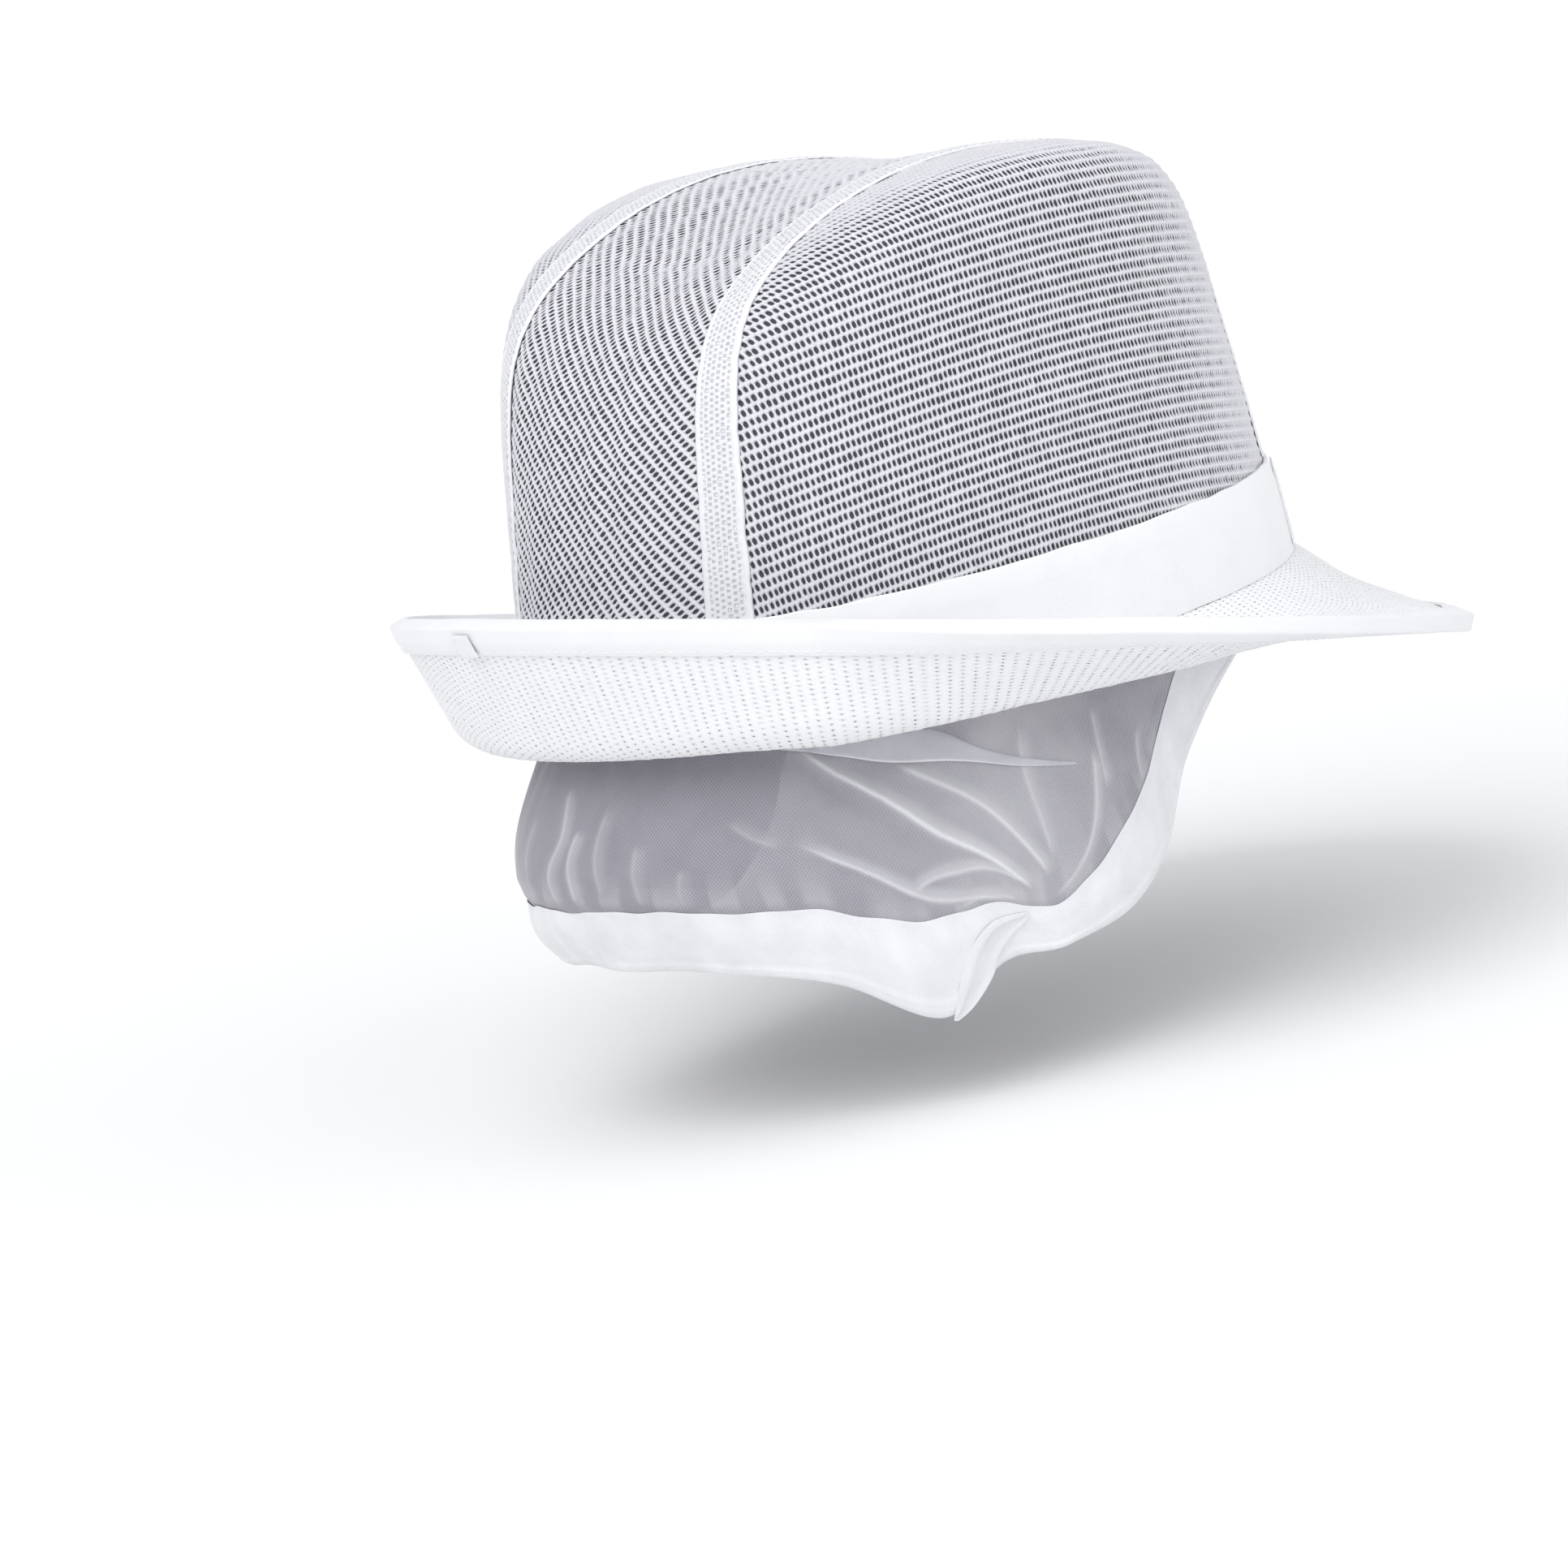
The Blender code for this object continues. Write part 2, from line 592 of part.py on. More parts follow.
def casing_section(edge, up, out, width):
    slot = NET_T / 2.0 + CASING_GAP
    wall = slot + CASING_T
    path = [
        (1.0, wall, 0.0),
        (0.5, wall, 0.0),
        (0.0, wall, 0.4),
        (0.0, wall * 0.45, -0.45),
        (0.0, -wall * 0.45, -0.45),
        (0.0, -wall, 0.4),
        (0.5, -wall, 0.0),
        (1.0, -wall, 0.0),
        (1.0, -slot, 0.0),
        (0.0, -slot, CASING_T),
        (0.0, slot, CASING_T),
        (1.0, slot, 0.0),
    ]
    rows = [
        edge + up * (share * width + more)[..., None] + out * off
        for share, off, more in ((s, o, m + 0 * width) for s, o, m in path)
    ]
    return np.stack(rows, 1), [share for share, _off, _more in path]


def snood_hem(hinge):
    edge, up, out, width, _reach = hem_frame(HEM_U)
    outline, rank = casing_section(edge, up, out, width)
    loop_solid("snood_hem_casing", outline, rank, WHITE, 0.6, closed=False, origin=hinge)
    low = CASING_T + CASING_GAP + 0.25
    high = low + np.minimum(ELASTIC_H, width - low - 1.6)
    half = ELASTIC_T / 2.0
    rows = [
        edge + up * (low + 0 * width)[..., None] + out * half,
        edge + up * (low + 0 * width)[..., None] - out * half,
        edge + up * high[..., None] - out * half,
        edge + up * high[..., None] + out * half,
    ]
    outline = np.stack(rows, 1)[1:-1]
    loop_solid("snood_elastic", outline, (0, 0, 1, 1), RUBBER_WHITE, 0.55, closed=False, origin=hinge)


def snood_net():
    """The net from the top band down into the slot of the hem."""
    edge, up, out, width, reach = hem_frame(HEM_U)
    _top, nx, ny = net_top(HEM_U)
    rows = 9
    into = np.maximum(width - 4.5, width * 0.86)
    outer, inner = [], []
    for k in range(rows):
        for off, grid in ((NET_T / 2.0, outer), (-NET_T / 2.0, inner)):
            if k >= rows - 2:
                share = width * 1.04 if k == rows - 2 else into
                at = edge + up * share[..., None] + out * off
            else:
                at = net_point(HEM_U, (k / (rows - 2)) * (1.0 - 1.25 * width / reach))
                mix = k / (rows - 2)
                way = out * mix + np.stack([nx, ny, 0 * nx], -1) * (1.0 - mix)
                way /= np.linalg.norm(way, axis=-1)[..., None]
                at = at + way * off
            grid.append(at)
    return shell("snood_net", np.stack(outer, 0), np.stack(inner, 0), NET_WHITE, 0.6)


def temple_tack(name, side):
    """Bar of close stitching that holds the snood's front corner to the top band."""
    angle = np.radians(180.0 + side * np.linspace(NET_HALF_ANGLE + 0.9, NET_HALF_ANGLE + 5.5, 3))
    rows_out, rows_in = [], []
    for z in (-6.5, -1.0, 5.0):
        for off, rows in ((-3.6 if z < 0 else -3.2, rows_out), (-4.8, rows_in)):
            at = round_crown(angle, max(z, 0.0), off)
            at[..., 2] = z
            rows.append(at)
    return shell(name, np.stack(rows_out, 0), np.stack(rows_in, 0), WHITE, 0.7)


def main():
    for old in list(bpy.data.objects):
        bpy.data.objects.remove(old, do_unlink=True)
    side_panel("crown_side_panel_right", -1.0)
    side_panel("crown_side_panel_left", 1.0)
    centre_panel()
    seam_tape("seam_tape_right", -1.0)
    seam_tape("seam_tape_left", 1.0)
    upright_ring("hat_band", BAND_Z, BAND_OFF, WHITE, 0.6, levels=2)
    band_join()
    upright_ring("sweatband", SWEAT_Z, SWEAT_OFF, WHITE, 0.65, levels=2)
    brim_layer("brim_upper", 0, MESH_WHITE, 0.65)
    brim_layer("brim_interlining", 1, WHITE, 0.8)
    brim_layer("brim_lower", 2, MESH_WHITE, 0.65)
    binding()
    binding_join()
    snood_top_band()
    snood_net()
    top = net_top(np.array([1.0]))[0][0]
    snood_hem(hinge=(0.0, top[1] - 2.0, top[2] - 2.0))
    temple_tack("snood_tack_right", 1.0)
    temple_tack("snood_tack_left", -1.0)
    bpy.context.view_layer.update()


main()
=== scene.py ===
# Looks for the food-hygiene trilby with its snood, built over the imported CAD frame.
# Frame: +Z up, front of the hat at -Y, the wearer's left at +X. Numbers below are millimetres
# unless they go straight into Blender; MM turns them into metres.
import math

import bmesh
import bpy
import numpy as np
from mathutils import Matrix, Vector


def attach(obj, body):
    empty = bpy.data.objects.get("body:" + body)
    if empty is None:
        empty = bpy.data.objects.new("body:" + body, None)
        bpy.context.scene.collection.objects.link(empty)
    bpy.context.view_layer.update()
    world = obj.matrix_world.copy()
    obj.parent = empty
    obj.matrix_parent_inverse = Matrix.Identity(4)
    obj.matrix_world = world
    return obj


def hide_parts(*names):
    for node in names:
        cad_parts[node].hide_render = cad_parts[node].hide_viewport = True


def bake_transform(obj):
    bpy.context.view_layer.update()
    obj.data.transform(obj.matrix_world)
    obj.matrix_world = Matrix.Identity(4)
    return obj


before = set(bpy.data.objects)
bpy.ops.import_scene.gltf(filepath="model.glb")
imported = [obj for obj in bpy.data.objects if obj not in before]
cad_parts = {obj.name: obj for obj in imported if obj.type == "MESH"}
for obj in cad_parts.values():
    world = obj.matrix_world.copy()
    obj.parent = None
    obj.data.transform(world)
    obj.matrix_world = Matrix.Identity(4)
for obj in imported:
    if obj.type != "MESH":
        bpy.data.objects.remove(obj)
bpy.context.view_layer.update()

MM = 0.001

# ================================================================ dimensions, as in the CAD
CROWN_A = 106.5        # half length of the crown's outer face at the base (along Y)
CROWN_B = 85.5         # half width of the crown's outer face at the base (along X)
CROWN_H = 121.0        # crown height at its highest point
CROWN_PEAK_Y = -1.7    # where the highest point of the crown lies
CROWN_FALL_FRONT = 0.0033   # how fast the crown's top falls towards the front
CROWN_FALL_BACK = 0.0041    # and towards the back
CROWN_TAPER = (0.2145, 0.0651)   # how much shorter and narrower the crown is at the top
PANEL_T = 1.0          # mesh fabric thickness
SEAM_X = 44.6          # distance of each long seam from the middle
SEAM_GAP = 0.35        # space between the fabric edges in a seam
BASE_Z = 0.4           # lower edge of the crown panels
TAPE_HALF = 5.4        # half width of the seam tape
TAPE_T = 0.9
TAPE_OFF = 0.55        # from the panels' outer face to the tape's inner face
BAND_Z = (0.7, 24.5)   # lower and upper edge of the hat band
BAND_OFF = (0.6, 1.6)  # inner and outer face of the hat band
SWEAT_Z = (0.4, 32.5)
SWEAT_OFF = (-2.7, -1.6)

BRIM_FLAT = 3.0        # sewn-in flat part of the brim, under the crown wall
BRIM_LAYER = 0.8       # each of the three brim layers
BRIM_GAP = 0.35        # space between the layers
BRIM_EDGE_Z = 3.4      # height of the brim's edge level with the middle of the hat
BRIM_EDGE_SLOPE = 0.247  # the edge lies in a plane that rises towards the back
# The brim's section at eight stations from front (-1) to back (+1), measured by the
# cosine round the head opening: angle under the crown, length before the turn-up,
# length of the turn-up's bend, and developed width.
BRIM_STATION = (-1.0, -0.82, -0.5, 0.0, 0.35, 0.7, 0.85, 1.0)
BRIM_DROP = (-42.0, -46.0, -33.0, -26.8, -22.7, -20.2, -12.0, -7.5)
BRIM_RUN = (16.5, 15.0, 10.0, 10.0, 8.0, 7.8, 5.9, 3.5)
BRIM_BEND = (13.0, 12.5, 12.0, 14.0, 14.1, 18.9, 14.4, 13.4)
BRIM_WIDTH = (54.0, 50.5, 48.0, 50.0, 49.8, 47.7, 46.5, 48.8)
BINDING_W = 7.0
BINDING_T = 0.7
BINDING_GAP = 0.4

NET_T = 0.8
NET_HALF_ANGLE = 114.0  # the snood runs this far round each side, from the back
NET_OFF = -3.7          # middle of the net from the crown's base line, at its top
NET_TOP_Z = -4.6
TOPBAND_Z = (-4.0, 8.0)
TOPBAND_OFF = (-4.1, -3.2)
# The snood's free edge on the right side, from the back middle to the temple:
# share of the way, then x (positive towards the wearer's side), y, z.
HEM = (
    (0.00, 0.0, 108.5, -58.0),
    (0.16, 28.0, 102.0, -60.0),
    (0.32, 54.0, 82.0, -67.5),
    (0.42, 66.5, 63.5, -80.5),
    (0.52, 73.5, 47.5, -71.0),
    (0.64, 78.5, 31.0, -70.5),
    (0.76, 82.5, 10.0, -66.0),
    (0.85, 82.0, -4.0, -53.0),
    (0.92, 81.5, -15.0, -34.5),
    (0.97, 80.3, -31.0, -20.0),
    (1.00, 77.5, -46.0, -11.0),
)
HEM_LEFT_RISE = 12.0      # on the left side the hem's lowest corner hangs this much higher
# Where the net's threads start along the top edge: share of the way at the hem, share at the top.
NET_SPREAD = (
    (0.00, 0.0),
    (0.16, 0.163),
    (0.32, 0.325),
    (0.42, 0.425),
    (0.52, 0.522),
    (0.64, 0.616),
    (0.76, 0.690),
    (0.85, 0.742),
    (0.92, 0.805),
    (0.97, 0.895),
    (1.00, 1.0),
)
NET_BULGE = (13.0, 5.0)   # outward swell of the net at the back and at the sides
CASING_W = 19.0          # width of the folded hem at the back
# and its share of that width from the back middle to the temple
CASING_SHARE = (
    (0.00, 1.0),
    (0.16, 1.02),
    (0.27, 1.05),
    (0.35, 1.25),
    (0.42, 1.38),
    (0.50, 0.94),
    (0.58, 0.66),
    (0.66, 0.62),
    (0.74, 0.98),
    (0.82, 1.05),
    (0.90, 0.85),
    (1.00, 0.70),
)
CASING_T = 0.6           # each leg of the folded hem
CASING_GAP = 0.35
ELASTIC_H = 6.0
ELASTIC_T = 0.6

RING_N = 44              # stations round the brim
LOOP_N = 64              # stations round the band and the sweatband



# ---------------------------------------------------------------- crown surface
def crown_height(y):
    fall = np.where(y < CROWN_PEAK_Y, CROWN_FALL_FRONT, CROWN_FALL_BACK)
    return CROWN_H - fall * (y - CROWN_PEAK_Y) ** 2


def crown_level(x, y, z):
    """Negative inside the crown's outer face, positive outside."""
    top = crown_height(y)
    share = np.clip(z / top, 0.0, 1.2)
    power = 14.1 - 2.4 * np.clip(y / 80.0, -1.0, 1.0)
    reach = np.clip(1.0 - share**power, 0.0, None) ** (1.0 / power)
    a = np.maximum(CROWN_A * reach * (1.0 - CROWN_TAPER[0] * share), 1e-3)
    b = np.maximum(CROWN_B * reach * (1.0 - CROWN_TAPER[1] * share), 1e-3)
    plan = 2.0 + 0.57 * np.clip(share, 0.0, 1.0)
    level = (np.abs(x) / b) ** plan + (np.abs(y) / a) ** plan - 1.0
    return np.where(z >= top * 0.99999, 1.0, level)


def to_crown(start, way, far=200.0):
    """From a point inside, along way, to the crown's outer face."""
    low = np.zeros(start.shape[:-1])
    high = low + far
    for _ in range(36):
        mid = (low + high) / 2.0
        at = start + way * mid[..., None]
        inside = crown_level(at[..., 0], at[..., 1], at[..., 2]) < 0.0
        low = np.where(inside, mid, low)
        high = np.where(inside, high, mid)
    return start + way * ((low + high) / 2.0)[..., None]


def over_crown(x, turn):
    """The crown's face at distance x from the middle; turn 0 is the back, pi the front."""
    x, turn = np.broadcast_arrays(np.asarray(x, float), np.asarray(turn, float))
    start = np.stack([x, 0 * x, 0 * x + BASE_Z], -1)
    way = np.stack([0 * x, np.cos(turn), np.sin(turn)], -1)
    return to_crown(start, way)


def round_crown(angle, z, off):
    """The crown's face at height z; angle 0 is the front, 90 degrees the wearer's left."""
    angle, z = np.broadcast_arrays(np.asarray(angle, float), np.asarray(z, float))
    way = np.stack([CROWN_B * np.sin(angle), -CROWN_A * np.cos(angle), 0 * z], -1)
    way /= np.linalg.norm(way, axis=-1)[..., None]
    at = to_crown(np.stack([0 * z, 0 * z, np.maximum(z, 0.0)], -1), way)
    nx, ny = plan_normal(angle)
    at[..., 0] += off * nx
    at[..., 1] += off * ny
    at[..., 2] = z
    return at


def side_reach(y, z):
    """How far out the side of the crown lies at (y, z)."""
    y, z = np.broadcast_arrays(np.asarray(y, float), np.asarray(z, float))
    start = np.stack([0 * y, y, z], -1)
    way = np.stack([0 * y + 1.0, 0 * y, 0 * y], -1)
    return to_crown(start, way)[..., 0]


def plan_normal(angle):
    nx, ny = np.sin(angle) / CROWN_B, -np.cos(angle) / CROWN_A
    size = np.hypot(nx, ny)
    return nx / size, ny / size


# ---------------------------------------------------------------- brim surface
def brim_value(angle, table):
    return np.interp(-np.cos(angle), BRIM_STATION, table)


def brim_section(angle, run, turned):
    """(out, up, slope) at length run along the section, whose end is turned up."""
    drop = np.radians(brim_value(angle, BRIM_DROP))
    first = brim_value(angle, BRIM_RUN)
    bend = brim_value(angle, BRIM_BEND)
    steps = 60
    part = np.linspace(0.0, 1.0, steps)
    at = run[..., None] * part
    under = np.clip(at / 3.0, 0.0, 1.0)
    under = under * under * (3.0 - 2.0 * under)
    turn = np.clip((at - first[..., None]) / bend[..., None], 0.0, 1.0)
    turn = turn * turn * (3.0 - 2.0 * turn)
    slope = drop[..., None] * under + (turned - drop)[..., None] * turn
    step = (run / (steps - 1))[..., None]
    out = np.sum((np.cos(slope)[..., 1:] + np.cos(slope)[..., :-1]) / 2.0 * step, axis=-1)
    up = np.sum((np.sin(slope)[..., 1:] + np.sin(slope)[..., :-1]) / 2.0 * step, axis=-1)
    return out, up, slope[..., -1]


def brim_turn(angle):
    """The turn-up angle that brings the brim's edge to its plane."""
    low = np.full(angle.shape, math.radians(-46.0))
    high = np.full(angle.shape, math.radians(76.0))
    width = brim_value(angle, BRIM_WIDTH)
    _, ny = plan_normal(angle)
    for _ in range(26):
        mid = (low + high) / 2.0
        out, up, _slope = brim_section(angle, width, mid)
        edge_y = -CROWN_A * np.cos(angle) + ny * out
        short = up < BRIM_EDGE_Z + BRIM_EDGE_SLOPE * edge_y
        low = np.where(short, mid, low)
        high = np.where(short, high, mid)
    return (low + high) / 2.0


def brim_point(angle, share, off, back_from_edge=None):
    """A point of the brim: share 0 is the sewn edge, 1 the outer edge. off is along the
    section's normal, below the upper face when negative."""
    angle, share = np.broadcast_arrays(np.asarray(angle, float), np.asarray(share, float))
    width = brim_value(angle, BRIM_WIDTH)
    run = share * (width + BRIM_FLAT) - BRIM_FLAT
    if back_from_edge is not None:
        run = width - back_from_edge + 0 * run
    out, up, slope = brim_section(angle, np.maximum(run, 0.0), brim_turn(angle))
    out = out + np.minimum(run, 0.0)
    out = out - off * np.sin(slope)
    up = up + off * np.cos(slope)
    nx, ny = plan_normal(angle)
    return np.stack(
        [CROWN_B * np.sin(angle) + nx * out, -CROWN_A * np.cos(angle) + ny * out, up], -1
    )


# ---------------------------------------------------------------- snood surface
def smooth_through(at, knots, values):
    """Cubic Hermite curve through the knots, with slopes from the neighbours."""
    knots = np.asarray(knots, float)
    values = np.asarray(values, float)
    slope = np.gradient(values, knots)
    i = np.clip(np.searchsorted(knots, at) - 1, 0, len(knots) - 2)
    h = knots[i + 1] - knots[i]
    t = (at - knots[i]) / h
    return (
        (2 * t**3 - 3 * t**2 + 1) * values[i]
        + (t**3 - 2 * t**2 + t) * h * slope[i]
        + (-2 * t**3 + 3 * t**2) * values[i + 1]
        + (t**3 - t**2) * h * slope[i + 1]
    )


def hem_point(u):
    """The snood's free edge; u runs from -1 (left temple) over 0 (back) to 1 (right temple)."""
    u = np.asarray(u, float)
    table = np.array(HEM)
    knots = np.concatenate([-table[:0:-1, 0], table[:, 0]])
    way = np.abs(u)
    x = smooth_through(u, knots, np.concatenate([-table[:0:-1, 1], table[:, 1]]))
    y = smooth_through(u, knots, np.concatenate([table[:0:-1, 2], table[:, 2]]))
    z = smooth_through(u, knots, np.concatenate([table[:0:-1, 3], table[:, 3]]))
    rise = np.where(u < 0.0, HEM_LEFT_RISE * np.exp(-(((way - 0.42) / 0.12) ** 2)), 0.0)
    return np.stack([-x, y, z + rise], -1)


def net_top(u):
    """The snood's sewn edge above the hem point u. The hem sweeps forward as it rises past
    the ear, so the threads down to it start further back."""
    u = np.asarray(u, float)
    table = np.array(NET_SPREAD)
    share = smooth_through(np.abs(u), table[:, 0], table[:, 1])
    angle = np.radians(180.0 + NET_HALF_ANGLE * share * np.sign(u))
    nx, ny = plan_normal(angle)
    at = np.stack(
        [
            CROWN_B * np.sin(angle) + NET_OFF * nx,
            -CROWN_A * np.cos(angle) + NET_OFF * ny,
            0 * angle + NET_TOP_Z,
        ],
        -1,
    )
    return at, nx, ny


def net_point(u, v, off=0.0):
    """A point of the net: v 0 is its top edge, 1 the snood's free edge."""
    u, v = np.broadcast_arrays(np.asarray(u, float), np.asarray(v, float))
    step = 1e-3

    def plain(a, b):
        top, nx, ny = net_top(a)
        low = hem_point(a)
        swell = NET_BULGE[1] + (NET_BULGE[0] - NET_BULGE[1]) * np.clip(np.cos(np.pi * a), 0, 1)
        swell = swell * np.clip((1.0 - np.abs(a)) / 0.2, 0.0, 1.0)
        bow = np.sin(np.pi * np.clip(b, 0, 1) ** 1.15) * swell
        at = top + (low - top) * b[..., None]
        at[..., 0] += bow * nx
        at[..., 1] += bow * ny
        return at

    at = plain(u, v)
    if np.any(np.asarray(off) != 0.0):
        du = plain(np.clip(u + step, -1, 1), v) - plain(np.clip(u - step, -1, 1), v)
        dv = plain(u, v + step) - plain(u, v - step)
        normal = np.cross(du, dv)
        normal /= np.linalg.norm(normal, axis=-1)[..., None]
        at = at - normal * np.asarray(off)[..., None]
    return at




def hem_frame(u):
    """Edge point, direction up the net, outward normal, casing width and the net's reach."""
    edge = hem_point(u)
    step = 2e-3
    along = hem_point(np.clip(u + step, -1, 1)) - hem_point(np.clip(u - step, -1, 1))
    along /= np.linalg.norm(along, axis=-1)[..., None]
    top, nx, ny = net_top(u)
    reach = np.linalg.norm(top - edge, axis=-1)
    table = np.array(CASING_SHARE)
    width = np.minimum(CASING_W * smooth_through(np.abs(u), table[:, 0], table[:, 1]), 0.62 * reach)
    up = net_point(u, 1.0 - width / reach) - edge
    up /= np.linalg.norm(up, axis=-1)[..., None]
    out = np.cross(along, up)
    out /= np.linalg.norm(out, axis=-1)[..., None]
    out *= np.sign(out[..., 0] * nx + out[..., 1] * ny)[..., None]
    return edge, up, out, width, reach


# ================================================================ helpers
def to_mesh(name, points, faces, smooth=True, uv=None, more=None):
    """A mesh object from points in millimetres; faces is an int array or a list of them."""
    points = np.asarray(points, np.float64).reshape(-1, 3) * MM
    groups = [np.asarray(f, np.int64) for f in (faces if isinstance(faces, list) else [faces])]
    groups = [g for g in groups if g.size]
    mesh = bpy.data.meshes.new(name)
    mesh.vertices.add(len(points))
    mesh.vertices.foreach_set("co", points.astype(np.float32).ravel())
    loops = np.concatenate([g.ravel() for g in groups])
    sizes = np.concatenate([np.full(len(g), g.shape[1]) for g in groups])
    starts = np.concatenate([[0], np.cumsum(sizes)[:-1]])
    mesh.loops.add(len(loops))
    mesh.loops.foreach_set("vertex_index", loops.astype(np.int32))
    mesh.polygons.add(len(sizes))
    mesh.polygons.foreach_set("loop_start", starts.astype(np.int32))
    mesh.polygons.foreach_set("loop_total", sizes.astype(np.int32))
    mesh.polygons.foreach_set("use_smooth", np.full(len(sizes), smooth))
    if uv is not None:
        spot = mesh.attributes.new("cloth", "FLOAT_VECTOR", "POINT")
        flat = np.zeros((len(points), 3), np.float32)
        flat[:, : np.asarray(uv).shape[-1]] = np.asarray(uv, np.float32).reshape(len(points), -1)
        spot.data.foreach_set("vector", flat.ravel())
    for key, values in (more or {}).items():
        spot = mesh.attributes.new(key, "FLOAT", "POINT")
        spot.data.foreach_set("value", np.asarray(values, np.float32).ravel())
    mesh.update(calc_edges=True)
    mesh.validate()
    made = bpy.data.objects.new(name, mesh)
    bpy.context.scene.collection.objects.link(made)
    return made


def grid_faces(rows, cols, closed=False, first=0, flip=False):
    i, j = np.meshgrid(np.arange(rows - 1), np.arange(cols if closed else cols - 1), indexing="ij")
    n = (j + 1) % cols
    quad = np.stack([i * cols + j, i * cols + n, (i + 1) * cols + n, (i + 1) * cols + j], -1).reshape(-1, 4) + first
    return quad[:, ::-1] if flip else quad


def rounded(path, radius, steps=3):
    """A closed outline of (a, b) points with its corners rounded."""
    path = np.asarray(path, float)
    made = []
    for k in range(len(path)):
        before, here, after = path[k - 1], path[k], path[(k + 1) % len(path)]
        da, db = before - here, after - here
        la, lb = np.linalg.norm(da), np.linalg.norm(db)
        r = min(radius, 0.45 * la, 0.45 * lb)
        a, b = here + da / la * r, here + db / lb * r
        for t in np.linspace(0.0, 1.0, steps + 1):
            made.append((1 - t) ** 2 * a + 2 * t * (1 - t) * here + t * t * b)
    return np.array(made)


def sweep(name, sections, closed=True, uv=None, caps=True):
    """sections (stations, corners, 3) swept round."""
    stations, corners = sections.shape[:2]
    rows = stations + (1 if closed else 0)
    i, j = np.meshgrid(np.arange(stations if closed else stations - 1), np.arange(corners), indexing="ij")
    n, k = (i + 1) % stations, (j + 1) % corners
    quads = np.stack([i * corners + j, n * corners + j, n * corners + k, i * corners + k], -1).reshape(-1, 4)
    faces = [quads]
    if not closed and caps:
        faces.append(np.arange(corners)[None, :])
        faces.append((np.arange(corners)[::-1] + (stations - 1) * corners)[None, :])
    del rows
    made = to_mesh(name, sections.reshape(-1, 3), faces, uv=uv)
    fix_normals(made)
    return made


def fix_normals(obj):
    work = bmesh.new()
    work.from_mesh(obj.data)
    bmesh.ops.recalc_face_normals(work, faces=work.faces)
    work.to_mesh(obj.data)
    work.free()


def noise1(n, seed, waves, closed=True):
    """A smooth random line of n values around 0, about 1 high."""
    rng = np.random.default_rng(seed)
    t = np.linspace(0.0, 2.0 * np.pi, n, endpoint=not closed)
    total = np.zeros(n)
    for k in waves:
        total += rng.normal() * np.cos(k * t + rng.uniform(0, 6.28)) / math.sqrt(len(waves))
    return total


def table_2d(table, a, b):
    """Bilinear look-up in table[(i, j)] at fractional (a, b)."""
    a = np.clip(a, 0, table.shape[0] - 1.0001)
    b = np.clip(b, 0, table.shape[1] - 1.0001)
    i, j = a.astype(int), b.astype(int)
    fa, fb = (a - i)[..., None], (b - j)[..., None]
    return (
        table[i, j] * (1 - fa) * (1 - fb)
        + table[i + 1, j] * fa * (1 - fb)
        + table[i, j + 1] * (1 - fa) * fb
        + table[i + 1, j + 1] * fa * fb
    )


